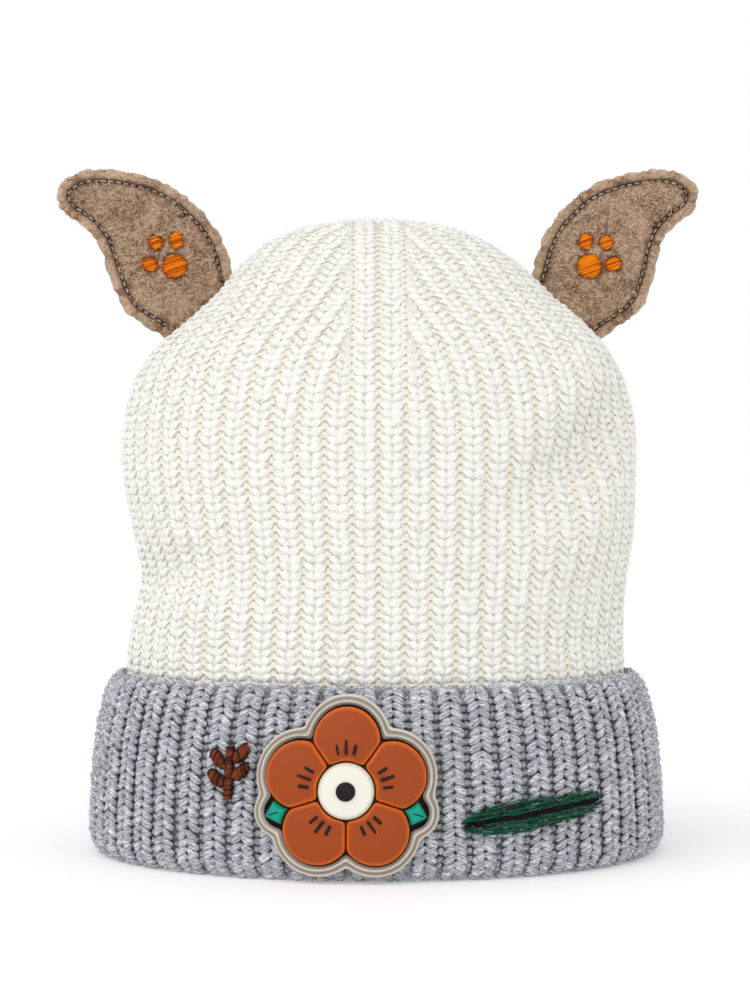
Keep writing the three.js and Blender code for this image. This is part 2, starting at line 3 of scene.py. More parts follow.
import bpy
import numpy as np
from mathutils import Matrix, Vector
from mathutils.geometry import delaunay_2d_cdt


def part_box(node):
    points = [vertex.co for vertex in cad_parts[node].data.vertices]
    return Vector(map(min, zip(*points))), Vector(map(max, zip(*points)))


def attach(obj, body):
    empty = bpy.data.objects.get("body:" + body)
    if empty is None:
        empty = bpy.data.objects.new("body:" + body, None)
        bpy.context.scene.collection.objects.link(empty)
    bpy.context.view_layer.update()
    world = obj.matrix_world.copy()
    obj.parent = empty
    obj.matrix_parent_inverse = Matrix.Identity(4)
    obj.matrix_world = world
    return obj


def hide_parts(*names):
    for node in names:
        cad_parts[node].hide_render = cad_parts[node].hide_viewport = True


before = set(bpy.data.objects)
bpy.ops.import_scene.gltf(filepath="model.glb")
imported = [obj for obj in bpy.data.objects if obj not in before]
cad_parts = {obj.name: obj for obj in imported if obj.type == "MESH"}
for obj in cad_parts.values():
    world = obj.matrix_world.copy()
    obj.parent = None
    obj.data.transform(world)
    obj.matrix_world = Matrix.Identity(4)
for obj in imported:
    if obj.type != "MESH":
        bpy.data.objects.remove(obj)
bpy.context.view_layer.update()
chance = np.random.default_rng(20)
mm = 0.001
quarterTurn = math.pi / 2
fullTurn = 2 * math.pi
degree = math.pi / 180


# The camera stands level with the middle of the crown.
view = {"place": (-0.0008, -0.700, 0.101), "lens": 86.9, "sensor": 36.0, "nearest": 0.01}
cameraData = bpy.data.cameras.new("camera")
cameraData.lens = view["lens"]
cameraData.sensor_width = view["sensor"]
cameraData.clip_start = view["nearest"]
camera = bpy.data.objects.new("camera", cameraData)
camera.location = view["place"]
camera.rotation_euler = (quarterTurn, 0, 0)
bpy.context.scene.collection.objects.link(camera)
bpy.context.scene.camera = camera
print("camera placed")


# Materials: a wired socket does its own arithmetic, and node() adds every other node.
class Wire:
    def __init__(self, finish, socket):
        self.finish = finish
        self.socket = socket

    def maths(self, operation, first, second):
        return self.finish.node("Math", {"operation": operation}, {0: first, 1: second})

    def __add__(self, other):
        return self.maths("ADD", self, other)

    def __sub__(self, other):
        return self.maths("SUBTRACT", self, other)

    def __rsub__(self, other):
        return self.maths("SUBTRACT", other, self)

    def __mul__(self, other):
        return self.maths("MULTIPLY", self, other)

    __radd__ = __add__
    __rmul__ = __mul__


class Finish:
    def __init__(self, name):
        self.material = bpy.data.materials.new(name)
        self.material.use_nodes = True
        self.nodes = self.material.node_tree.nodes
        self.links = self.material.node_tree.links
        self.nodes.clear()

    def node(self, kind, settings=None, inputs=None, output=0):
        made = self.nodes.new("ShaderNode" + kind)
        for name, value in (settings or {}).items():
            if name == "stops":
                ramp = made.color_ramp.elements
                while len(ramp) < len(value):
                    ramp.new(0.5)
                for element, (place, colour) in zip(ramp, value):
                    element.position = place
                    element.color = colour
            else:
                setattr(made, name, value)
        for name, value in (inputs or {}).items():
            if isinstance(value, Wire):
                self.links.new(value.socket, made.inputs[name])
            else:
                made.inputs[name].default_value = value
        return Wire(self, made.outputs[output]) if made.outputs else made

    def mix(self, share, first, second):
        settings = {"data_type": "RGBA", "clamp_factor": True}
        return self.node("Mix", settings, {0: share, 6: first, 7: second}, 2)

    def value(self, name):
        return self.node("Attribute", {"attribute_name": name}, output="Fac")

    def place(self):
        return self.node("TexCoord", output="Object")

    def across(self, layer):
        # the two axes of a UV layer
        where = self.node("UVMap", {"uv_map": layer})
        return [self.node("SeparateXYZ", inputs={0: where}, output=axis) for axis in (0, 1)]

    def wave(self, share, perUnit=1, operation="SINE"):
        return self.node("Math", {"operation": operation}, {0: share * (fullTurn * perUnit)})

    def noise(self, where, scale, detail=2.0, rough=0.5):
        inputs = {"Vector": where, "Scale": scale, "Detail": detail, "Roughness": rough}
        return self.node("TexNoise", inputs=inputs)

    def stretched(self, where, scale, turn=(0, 0, 0)):
        return self.node("Mapping", inputs={"Vector": where, "Scale": scale, "Rotation": turn})

    def ramp(self, share, *stops):
        return self.node("ValToRGB", {"stops": stops}, {0: share})

    def smooth(self, share, low, high):
        inputs = {"Value": share, "From Min": low, "From Max": high}
        return self.node("MapRange", {"interpolation_type": "SMOOTHSTEP"}, inputs)

    def bump(self, height, strength, distance, under=None):
        inputs = {"Height": height, "Strength": strength, "Distance": distance}
        if under:
            inputs["Normal"] = under
        return self.node("Bump", inputs=inputs)

    def surface(self, colour, roughness, normal, **settings):
        inputs = {"Base Color": colour, "Roughness": roughness, "Normal": normal}
        inputs.update(settings)
        shader = self.node("BsdfPrincipled", inputs=inputs)
        self.node("OutputMaterial", inputs={"Surface": shader})
        return self.material


def tint(red, green, blue):
    # an 8-bit screen colour as a linear one
    shares = [value / 255 for value in (red, green, blue)]
    return [s / 12.92 if s <= 0.04045 else ((s + 0.055) / 1.055) ** 2.4 for s in shares] + [1]


def grey(value):
    return (value, value, value, 1)


# gap: painted shade down between the stitches; the other colours are the yarn's own
yarns = {
    "white yarn": {
        "gap": tint(251, 242, 215),
        "dark": tint(250, 249, 239),
        "middle": tint(252, 252, 246),
        "light": tint(253, 253, 250),
        "contrast": 1.1,
        "depth": 0.8,
        "relief": 0.75,
        "strands": 9,
        "plied": 0.34,
    },
    "grey marl yarn": {
        "gap": tint(136, 138, 145),
        "dark": tint(134, 137, 145),
        "middle": tint(183, 186, 194),
        "light": tint(246, 248, 252),
        "contrast": 1.7,
        "depth": 0.6,
        "relief": 0.85,
        "strands": 12,
        "plied": 0.14,
    },
}


def yarnFinish(name):
    # plied yarn: `lie` is 0 in the gaps and 1 on the crests and sets how much painted shade, the `gap`
    # colour, a place takes; `tone` differs from stitch to stitch
    yarn = yarns[name]
    plied = yarn["plied"]
    finish = Finish(name)
    along, around = finish.across("yarn")
    tone = finish.value("tone")
    lie = finish.value("lie")
    ply = finish.wave(around * 5 + along * 0.7 + tone * 3) * 0.5 + 0.5
    drawn = {0: along * 1.6 + tone * 40, 1: around * yarn["strands"] + along * 4, 2: tone * 90}
    strand = finish.noise(finish.node("CombineXYZ", inputs=drawn), 1.7, 3.0, 0.65)
    hair = finish.noise(finish.place(), 2400, 3.0, 0.65)
    lump = finish.noise(finish.place(), 900, 1.0, 0.5)
    # the grooves between the plies are painted darker, as shade, as well as bumped
    shade = (strand - 0.5) * yarn["contrast"] + (ply - 0.5) * plied
    shade = shade + tone * 0.12 + hair * 0.22 + 0.33
    colour = finish.ramp(shade, (0.28, yarn["dark"]), (0.5, yarn["middle"]), (0.7, yarn["light"]))
    # the gaps take the gap colour as painted shade
    raised = finish.smooth(lie + (hair - 0.5) * 0.3, 0.0, yarn["depth"])
    colour = finish.mix(raised, yarn["gap"], colour)
    rough = strand * 1.1 + ply * (plied * 2.4) + hair * 0.6 + lump * 0.6
    normal = finish.bump(rough, yarn["relief"], 0.0005)
    settings = {"Sheen Weight": 0.2, "Sheen Roughness": 0.5, "Specular IOR Level": 0.2}
    return finish.surface(colour, 0.92, normal, **settings)


whiteYarn = yarnFinish("white yarn")
greyYarn = yarnFinish("grey marl yarn")


def shellFinish(name, dark, light, holeShade):
    # the knit's inner side and what shows between its stitches, with a dot of painted shade in each valley
    # at every row
    finish = Finish(name)
    rib, row = finish.across("knit")
    slant = finish.node("Math", {"operation": "ABSOLUTE"}, {0: finish.wave(rib, 2)})
    loops = finish.wave(row + slant * 0.4) * 0.5 + 0.5
    hair = finish.noise(finish.place(), 1800, 3.0, 0.6)
    colour = finish.mix(loops * 0.6 + hair * 0.4, dark, light)
    valley = finish.wave(rib, 1, "COSINE")
    beat = finish.wave(row, 1, "COSINE")
    hole = finish.smooth(valley * 0.6 + beat * 0.3 + (hair - 0.5) * 0.7, 0.68, 0.94)
    colour = finish.mix(hole, colour, holeShade)
    normal = finish.bump(loops + hair * 0.5 - hole * 0.8, 0.7, 0.0008)
    return finish.surface(colour, 0.95, normal, **{"Sheen Weight": 0.2})


# the last colour of each is the painted shade in the holes between the stitches
whiteShell = shellFinish("white knit inside", tint(248, 243, 229), tint(252, 249, 241), tint(218, 188, 136))
# the grey inside is painted darker than its yarn, as shade between the stitches
greyShell = shellFinish("grey knit inside", tint(116, 117, 123), tint(166, 168, 174), tint(84, 84, 90))
print("materials made")


# Meshes from arrays. Points are in the hat's millimetres.
def addMesh(name, points, faces, corners, values, finish, replaced, slot):
    mesh = bpy.data.meshes.new(name)
    points = np.asarray(points, float).reshape(-1, 3)
    mesh.vertices.add(len(points))
    mesh.vertices.foreach_set("co", (points * mm + shift).astype(np.float32).ravel())
    indices = np.concatenate([np.asarray(group).ravel() for group in faces])
    sizes = np.concatenate([np.full(len(group), group.shape[1]) for group in faces])
    mesh.loops.add(len(indices))
    mesh.loops.foreach_set("vertex_index", indices.astype(np.int32))
    mesh.polygons.add(len(sizes))
    mesh.polygons.foreach_set("loop_start", (np.cumsum(sizes) - sizes).astype(np.int32))
    mesh.polygons.foreach_set("use_smooth", np.ones(len(sizes), bool))
    mesh.update(calc_edges=True)
    for layer, uv in corners.items():
        mesh.uv_layers.new(name=layer).uv.foreach_set("vector", uv.astype(np.float32).ravel())
    for label, numbers in values.items():
        made = mesh.attributes.new(label, "FLOAT", "POINT")
        made.data.foreach_set("value", numbers.astype(np.float32).ravel())
    mesh.materials.append(finish)
    piece = bpy.data.objects.new(name, mesh)
    bpy.context.scene.collection.objects.link(piece)
    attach(piece, "root")
    if replaced:
        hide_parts(*replaced)
    return piece


def unit(vectors):
    return vectors / np.maximum(np.linalg.norm(vectors, axis=-1, keepdims=True), 1e-9)


def stripCorners(count):
    # how far along a strip each corner of its quads lies
    i = np.arange(count)
    return np.stack([i, i, i + 1, i + 1], -1) / count


def apart(corners, count):
    # the corners of each strand laid out in a square of its own
    grid = math.ceil(math.sqrt(count))
    cell = np.stack([np.arange(count) % grid, np.arange(count) // grid], -1)[:, None]
    return ((0.06 + 0.88 * corners[None] + cell) / grid).reshape(-1, 2)


# Closed tubes, one per row of centres: `radius` and the sideways direction `up` go with each centre.
def tubes(centres, up, radius, sides, flatten=1.0):
    count, rings = centres.shape[:2]
    ahead = unit(np.gradient(centres, axis=1))
    side = unit(np.cross(up, ahead))
    lift = np.cross(ahead, side)
    angle = quarterTurn + fullTurn * np.arange(sides) / sides
    girth = radius[..., None, None]
    ring = (
        centres[:, :, None]
        + girth * np.cos(angle)[:, None] * side[:, :, None]
        + girth * flatten * np.sin(angle)[:, None] * lift[:, :, None]
    )
    start = centres[:, :1] - ahead[:, :1] * radius[:, :1, None] * 0.5
    end = centres[:, -1:] + ahead[:, -1:] * radius[:, -1:, None] * 0.5
    points = np.concatenate([ring.reshape(count, -1, 3), start, end], 1)
    body = sheetFaces(rings, sides)
    j, k = np.arange(sides), (np.arange(sides) + 1) % sides
    first, last = rings * sides, rings * sides + 1
    tips = np.stack([np.full(sides, first), k, j], -1)
    ends = (rings - 1) * sides + np.stack([j, k], -1)
    tails = np.concatenate([np.full((sides, 1), last), ends], 1)
    offsets = (np.arange(count) * points.shape[1])[:, None, None]
    quads = (body[None] + offsets).reshape(-1, 4)
    tris = (np.concatenate([tips, tails])[None] + offsets).reshape(-1, 3)
    # along and around the yarn, corner by corner
    u = np.repeat(stripCorners(rings - 1), sides, axis=0)
    v = np.tile(np.stack([j, j + 1, j + 1, j], -1) / sides, (rings - 1, 1))
    quadCorners = np.stack([u, v], -1).reshape(-1, 2)
    tipCorners = np.stack([np.zeros((sides, 3)), np.stack([j + 0.5, j + 1, j], -1) / sides], -1)
    tailCorners = np.stack([np.ones((sides, 3)), np.stack([j + 0.5, j, j + 1], -1) / sides], -1)
    parts = [quadCorners, np.concatenate([tipCorners, tailCorners]).reshape(-1, 2)]
    layers = {
        "yarn": np.concatenate([np.tile(corners, (count, 1)) for corners in parts]),
        "OFBake": np.concatenate([apart(corners, count) for corners in parts]),
    }
    return points, [quads, tris], layers


# Loose hairs: thin curling strips that leave `root` along `way` and lift off along `up`.
def hairs(root, way, up, length, width, curl, lift):
    rings = 4
    count = len(root)
    t = np.linspace(0, 1, rings)[:, None]
    side = np.cross(up, way)
    bend = curl * chance.normal(0, 1, (count, 1, 1))
    run = length * (0.55 + 0.9 * chance.random((count, 1, 1)))
    rise = lift * (0.3 + chance.random((count, 1, 1)))
    centre = root[:, None] + run * (way[:, None] * t + side[:, None] * bend * t * t)
    centre = centre + up[:, None] * rise * np.sin(math.pi * t * 0.7)
    edge = side[:, None] * width * (1 - 0.6 * t)
    points = np.stack([centre - edge, centre + edge], 2)
    i = np.arange(rings - 1)
    strip = np.stack([2 * i, 2 * i + 1, 2 * i + 3, 2 * i + 2], -1)
    quads = (strip[None] + (np.arange(count) * rings * 2)[:, None, None]).reshape(-1, 4)
    u = stripCorners(rings - 1)
    corners = np.stack([u, np.broadcast_to([0, 1, 1, 0], u.shape)], -1).reshape(-1, 2)
    layers = {"yarn": np.tile(corners, (count, 1)), "OFBake": apart(corners, count)}
    tone = np.broadcast_to(chance.random((count, 1)), (count, rings * 2))
    values = {"tone": tone, "lie": np.ones(tone.shape)}
    return points.reshape(-1, 3), [quads], layers, values


def anyWay(up):
    # a random direction along the surface
    way = chance.normal(0, 1, up.shape)
    return unit(way - (way * up).sum(-1, keepdims=True) * up)


# Quads between rows of as many points each, closed round each row.
def sheetFaces(rows, columns, closed=False):
    i, j = np.meshgrid(np.arange(rows - (0 if closed else 1)), np.arange(columns), indexing="ij")
    k = (j + 1) % columns
    n = (i + 1) % rows
    return np.stack([i * columns + j, i * columns + k, n * columns + k, n * columns + j], -1).reshape(-1, 4)


# The hat's form, as in the frame.
hat = {
    "height": 182.0,
    "halfWidth": 74.7,
    "halfDepth": 59.0,
    "hem": 14.0,
    "ribDepth": 1.2,
    "ribsPerQuarter": 14,
    "widest": 6,
    # height from hem to top, left, right and depth as shares
    "sections": (
        (0.0, 0.972, 0.957, 0.965),
        (0.208, 0.976, 0.955, 0.965),
        (0.286, 0.966, 0.953, 0.961),
        (0.369, 0.929, 0.961, 0.962),
        (0.423, 0.935, 0.98, 0.972),
        (0.488, 0.963, 0.996, 0.986),
        (0.571, 0.993, 1.0, 1.0),
        (0.643, 0.99, 0.998, 0.994),
        (0.72, 0.95, 0.966, 0.958),
        (0.775, 0.876, 0.903, 0.9),
        (0.82, 0.762, 0.812, 0.816),
        (0.865, 0.648, 0.69, 0.71),
        (0.915, 0.551, 0.575, 0.585),
        (0.958, 0.442, 0.443, 0.45),
        (0.982, 0.325, 0.32, 0.325),
        (0.996, 0.172, 0.165, 0.17),
        (1.0, 0.0, 0.0, 0.0),
    ),
    # turn, height, tilt, half length, half width, depth
    "dents": (
        (52, 0.64, 33, 0.42, 0.12, 0.07),
        (52, 0.52, 33, 0.25, 0.12, -0.03),
        (50, 0.74, 33, 0.3, 0.12, -0.02),
        (-62, 0.45, 5, 0.32, 0.08, 0.03),
        (-40, 0.39, 5, 0.3, 0.1, -0.012),
        (8, 0.6, 0, 0.12, 0.12, 0.014),
        (50, 0.34, 4, 0.4, 0.1, 0.018),
    ),
}
sections = np.array(hat["sections"])
crownRows = np.stack(
    [
        hat["hem"] + (hat["height"] - hat["hem"]) * sections[:, 0],
        hat["halfWidth"] * sections[:, 1],
        hat["halfWidth"] * sections[:, 2],
        hat["halfDepth"] * sections[:, 3],
    ],
    -1,
)


# A smooth curve through evenly spaced values. `extend` carries it on beyond its ends.
def throughPoints(values, step, extend=1.0):
    values = np.asarray(values, float)
    before = values[0] + extend * (values[0] - values[1])
    after = values[-1] + extend * (values[-1] - values[-2])
    values = np.concatenate([before[None], values, after[None]])
    place = np.clip(step, 0, 1) * (len(values) - 3)
    index = np.minimum(place.astype(int), len(values) - 4)
    t = (place - index)[..., None]
    before, start, end, after = (values[index + i] for i in range(4))
    leave, arrive = (end - before) / 2, (after - start) / 2
    cubic = (2 * start - 2 * end + leave + arrive) * t**3
    square = (3 * end - 3 * start - 2 * leave - arrive) * t**2
    return cubic + square + leave * t + start


def ovalPoint(turn, height, left, right, depth):
    turn, height = np.broadcast_arrays(turn, height)
    half = np.where(np.sin(turn) < 0, left, right)
    return np.stack([half * np.sin(turn), -depth * np.cos(turn), height], -1)


def evenTurn(share):
    flatness = (hat["halfWidth"] - hat["halfDepth"]) / (hat["halfWidth"] + hat["halfDepth"])
    return share - flatness / 2 * np.sin(2 * share)


def dentDepth(turn, height):
    depth = 0
    for at, rise, tilt, halfLength, halfWidth, deep in hat["dents"]:
        aside = turn - at * degree
        aside = np.arctan2(np.sin(aside), np.cos(aside))
        arc = aside * (hat["halfWidth"] + hat["halfDepth"]) / 2
        above = height - rise * hat["height"]
        along = arc * math.cos(tilt * degree) + above * math.sin(tilt * degree)
        across = above * math.cos(tilt * degree) - arc * math.sin(tilt * degree)
        fade = (along / (halfLength * hat["halfWidth"])) ** 2
        fade = fade + (across / (halfWidth * hat["halfWidth"])) ** 2
        depth = depth + deep * hat["halfWidth"] * np.exp(-fade)
    return depth


def crownOval(turn, step):
    return ovalPoint(turn, *np.moveaxis(throughPoints(crownRows, step), -1, 0))


# A point `out` from the crown's smooth outer surface, and the direction away from it there.
def crownPoint(turn, step, out):
    turn, step, out = np.broadcast_arrays(*np.atleast_1d(turn, step, out))
    nudge = 0.002
    turn = turn.astype(float)
    step = np.minimum(step, 1 - nudge)
    point = crownOval(turn, step)
    girth = crownOval(turn + nudge, step) - crownOval(turn - nudge, step)
    rise = crownOval(turn, step + nudge) - crownOval(turn, np.maximum(0, step - nudge))
    normal = unit(np.cross(girth, rise))
    return point + normal * (out - dentDepth(turn, point[..., 2]))[..., None], normal


fineSteps = np.linspace(0, 1, 2001)
fineRows = throughPoints(crownRows, fineSteps)
girths = (fineRows[:, 1] + fineRows[:, 2]) / 2 + fineRows[:, 3]
widestStep = hat["widest"] / (len(sections) - 1)


def crownStep(height):
    return np.interp(height, fineRows[:, 0], fineSteps)


# How many ribs of each quarter are left at a step: the rest have run out at the darts.
def liveRibs(step):
    share = np.interp(step, fineSteps, girths) / np.interp(widestStep, fineSteps, girths)
    live = np.clip(share, 0, 1) * hat["ribsPerQuarter"]
    live = np.where(step <= widestStep, hat["ribsPerQuarter"], live)
    return np.maximum(2, live)


# A rib's middle and half width, in ribs from the quarter's middle.
def ribSpan(rib, live):
    side = hat["ribsPerQuarter"] / 2
    aside = rib + 0.5 - side
    reach = live / 2 - 1
    inDart = np.abs(aside) > side - 1
    low = np.clip(aside - 0.5, -reach, reach)
    high = np.clip(aside + 0.5, -reach, reach)
    middle = np.where(inDart, np.sign(aside) * (live / 2 - 0.5), (low + high) / 2)
    return middle, np.where(inDart, 0.5, (high - low) / 2)


def ribTurn(quarter, rib, across, step):
    live = liveRibs(step)
    middle, half = ribSpan(rib, live)
    return evenTurn((quarter + 0.5 + (middle + across * half) / live) * quarterTurn)


# The frame's origin lies under the middle of the whole hat, so the form is shifted as it is there.
quarters, ribs, acrosses, rows = np.meshgrid(
    np.arange(4), np.arange(hat["ribsPerQuarter"]), (-1, 0), np.arange(3, 9), indexing="ij"
)
rowSteps = rows / (len(sections) - 1)
crestPoints, _ = crownPoint(
    ribTurn(quarters, ribs, acrosses, rowSteps), rowSteps, acrosses * hat["ribDepth"]
)
crestPoints = crestPoints.reshape(-1, 3)
formMiddle = (crestPoints.min(0) + crestPoints.max(0)) / 2 * mm
low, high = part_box("crown")
shift = np.array([(low.x + high.x) / 2 - formMiddle[0], (low.y + high.y) / 2 - formMiddle[1], 0])
print("form worked out, shifted by", shift)


# Knit stitches: each is one leg of a V that leans away from its rib's middle line.
def knitLegs(knit, quarter, rib, row, side, place):
    t = np.linspace(0, 1, knit["rings"])
    count = len(rib)
    wobble = chance.normal(0, 1, (4, count, 1))
    reach = knit["inner"] + (knit["outer"] - knit["inner"]) * t**0.9
    aside, along, thick = knit["scatter"]
    across = side[:, None] * (reach + aside * wobble[0])
    rise = knit["start"] + (knit["end"] - knit["start"]) * t
    rowAt = row[:, None] + rise + along * wobble[1]
    out = np.interp(t, *knit["hump"]) + knit["unevenness"] * wobble[2]
    girth = np.interp(t, *knit["girth"]) * (1 + thick * wobble[3])
    centres, up, scale = place(quarter[:, None], rib[:, None], across, rowAt, out)
    radius = girth * scale
    points, faces, layers = tubes(centres, up, radius, knit["sides"], knit["flatten"])
    # the yarn's twist is mirrored from one leg of the V to the other
    mirrored = np.concatenate([np.repeat(side < 0, group.size // count) for group in faces])
    layers["yarn"][mirrored, 1] *= -1
    angle = quarterTurn + fullTurn * np.arange(knit["sides"]) / knit["sides"]
    level = out[..., None] + (radius[..., None] * np.sin(angle)) * knit["flatten"]
    level = np.concatenate([level.reshape(count, -1), out[:, :1], out[:, -1:]], 1)
    # lie runs from 0 down in the gaps to 1 on the crests and sets the painted shade of the gaps
    values = {
        "lie": np.clip(1 + level / knit["deep"], 0, 1),
        "tone": np.broadcast_to(chance.random((count, 1)), level.shape),
    }
    return points.reshape(-1, 3), faces, layers, values


# Every leg of a quarter: its rib, its row and its side of the rib.
def quarterLegs(rowCount):
    grid = np.meshgrid(np.arange(hat["ribsPerQuarter"]), np.arange(rowCount), (-1, 1), indexing="ij")
    return [value.ravel() for value in grid]


crownKnit = {
    "firstHeight": 46.0,
    "rowPitch": 2.3,
    "ribPitch": 7.3,
    "inner": 0.05,
    "outer": 0.74,
    "start": -0.34,
    "end": 0.38,
    "hump": ((0, 0.3, 0.65, 1), (-0.9, -0.62, -0.64, -1.15)),
    "girth": ((0, 0.3, 0.65, 1), (1.26, 1.5, 1.5, 1.1)),
    "rings": 5,
    "sides": 5,
    "flatten": 0.48,
    "deep": 1.2,
    "unevenness": 0.06,
    # how far stitches stray sideways and along, and in thickness
    "scatter": (0.035, 0.07, 0.08),
    "shellDepth": 0.64,
    "shellRelief": 0.15,
    "innerRelief": 0.3,
    "dartLift": 0.35,
    "dartWidth": 0.25,
    # where the shell's rows end, and how many lie below that
    "shellRows": ((0.6, 70), (0.985, 50)),
    "topDepth": 1.0,
    "wall": 3.1,
    # ribs get narrower than this share only where they have run out
    "narrowest": 0.15,
    "fuzzFrom": 50.0,
    "fuzzTo": 0.97,
    "fuzz": {"count": 4500, "depth": -0.2, "lean": 0.5, "length": 1.5, "width": 0.04},
}
frontLine = np.stack([fineRows[:, 3], fineRows[:, 0]], -1)
frontLength = np.concatenate([[0], np.cumsum(np.linalg.norm(np.diff(frontLine, axis=0), axis=1))])
startLength = np.interp(crownStep(crownKnit["firstHeight"]), fineSteps, frontLength)
rowTotal = int((frontLength[-1] - startLength) / crownKnit["rowPitch"])


def crownRowStep(row):
    return np.interp(startLength + row * crownKnit["rowPitch"], frontLength, fineSteps)


def ribScale(step):
    # the ribs narrow only where the last ones meet at the top
    pitch = np.interp(step, fineSteps, girths) * math.pi / 4 / liveRibs(step)
    return np.clip(pitch / crownKnit["ribPitch"], crownKnit["narrowest"], 1.05)


def crownPlace(quarter, rib, across, row, out):
    step = crownRowStep(row)
    _, half = ribSpan(rib, liveRibs(step))
    points, up = crownPoint(ribTurn(quarter, rib, across, step), step, out)
    return points, up, ribScale(step) * np.sqrt(np.clip(half / 0.5, 0.4, 1))


def buildCrownKnit():
    rib, row, side = quarterLegs(rowTotal)
    step = crownRowStep(row)
    _, half = ribSpan(rib, liveRibs(step))
    seen = (half > 0.1) & (ribScale(step) > crownKnit["narrowest"] + 0.01)
    rib, row, side = rib[seen], row[seen], side[seen]
    for number in range(4):
        quarter = np.full(len(rib), number)
        made = knitLegs(crownKnit, quarter, rib, row, side, crownPlace)
        addMesh(f"crown_knit_{number + 1}", *made, whiteYarn, ["crown"], "white_knit")
        print("crown knit", number + 1, len(rib), "stitches")


buildCrownKnit()


columnsPerRib = 4


def knitCorners(quads, columns, heights):
    # ribs across and rows up for each corner, the closing column too
    column = quads % columns
    wrapped = (column == 0) & (column.max(1, keepdims=True) == columns - 1)
    ribs = (column + wrapped * columns) / columnsPerRib
    return np.stack([ribs, heights[quads // columns]], -1).reshape(-1, 2)


def ribGrid():
    # places round the hat: quarter, rib and how far across it
    quarter, rib, part = np.meshgrid(
        np.arange(4), np.arange(hat["ribsPerQuarter"]), np.arange(columnsPerRib), indexing="ij"
    )
    return quarter.ravel(), rib.ravel(), (part.ravel() / columnsPerRib) * 2 - 1


def buildCrownShell():
    quarter, rib, across = ribGrid()
    relief = 0.5 * np.cos(across * math.pi) - 0.5
    (bend, below), (last, above) = crownKnit["shellRows"]
    steps = np.concatenate([np.linspace(0, bend, below), np.linspace(bend, last, above)[1:]])
    columns = len(rib)
    outer = len(steps)
    everyStep = np.concatenate([steps, steps[::-2]])
    grids = []
    for number, step in enumerate(everyStep):
        turn = ribTurn(quarter, rib, across, np.full(columns, step))
        live = liveRibs(step)
        middle, half = ribSpan(rib, live)
        fromDart = (live / 2 - 1) - np.abs(middle + across * half)
        dart = np.exp(-((fromDart / crownKnit["dartWidth"]) ** 2))
        dart = dart * np.clip(hat["ribsPerQuarter"] - live, 0, 1)
        if number < outer:
            # the shell comes up between the stitches where ribs run out at a dart
            flat = crownKnit["shellRelief"] * relief * (1 - dart)
            out = crownKnit["dartLift"] * dart + flat - crownKnit["shellDepth"]
        else:
            out = -crownKnit["innerRelief"] * relief - crownKnit["wall"]
        grids.append(crownPoint(turn, step, out)[0])
    grids = np.array(grids)
    tops = np.array([[0, 0, hat["height"] - crownKnit[depth]] for depth in ("topDepth", "wall")])
    points = np.concatenate([grids.reshape(-1, 3), tops])
    rows = len(grids)
    body = sheetFaces(outer, columns)
    inside = sheetFaces(rows - outer, columns) + outer * columns
    hem = sheetFaces(2, columns)
    hem = np.where(hem >= columns, hem - columns, hem + (rows - 1) * columns)
    j = np.arange(columns)
    k = (j + 1) % columns
    total = rows * columns
    capOut = np.stack([(outer - 1) * columns + j, (outer - 1) * columns + k, np.full(columns, total)], -1)
    capIn = np.stack([outer * columns + k, outer * columns + j, np.full(columns, total + 1)], -1)
    quads = np.concatenate([body, inside, hem])
    # ribs that have run out have no width left
    a, b, c, d = (points[quads[:, i]] for i in range(4))
    leastArea = 0.02
    quads = quads[np.linalg.norm(np.cross(c - a, d - b), axis=1) > leastArea]
    height = np.interp(everyStep, fineSteps, frontLength) / crownKnit["rowPitch"]
    top = height.max() + np.array([0, 0, 1])
    capRibs = np.stack([j, j + 1, j + 0.5], -1) / columnsPerRib
    capOutCorners = np.stack([capRibs, np.tile(top, (columns, 1))], -1)
    capInCorners = capOutCorners[:, [1, 0, 2]]
    corners = np.concatenate(
        [knitCorners(quads, columns, height), capOutCorners.reshape(-1, 2), capInCorners.reshape(-1, 2)]
    )
    faces = [quads, capOut, capIn]
    addMesh("crown_shell", points, faces, {"knit": corners}, {}, whiteShell, ["crown"], "white_knit")


buildCrownShell()


hairCurl, hairLift = 0.5, 0.3


def fuzz(look, root, up):
    # loose hairs that stand away from the knit a little
    way = unit(anyWay(up) + look["lean"] * up)
    return hairs(root, way, up, look["length"], look["width"], hairCurl, hairLift)


def buildCrownFuzz():
    look = crownKnit["fuzz"]
    share = chance.random(look["count"]) * fullTurn
    step = chance.uniform(crownStep(crownKnit["fuzzFrom"]), crownKnit["fuzzTo"], look["count"])
    root, up = crownPoint(evenTurn(share), step, look["depth"])
    addMesh("crown_fuzz", *fuzz(look, root, up), whiteYarn, [], "white_knit")


buildCrownFuzz()
print("crown built")


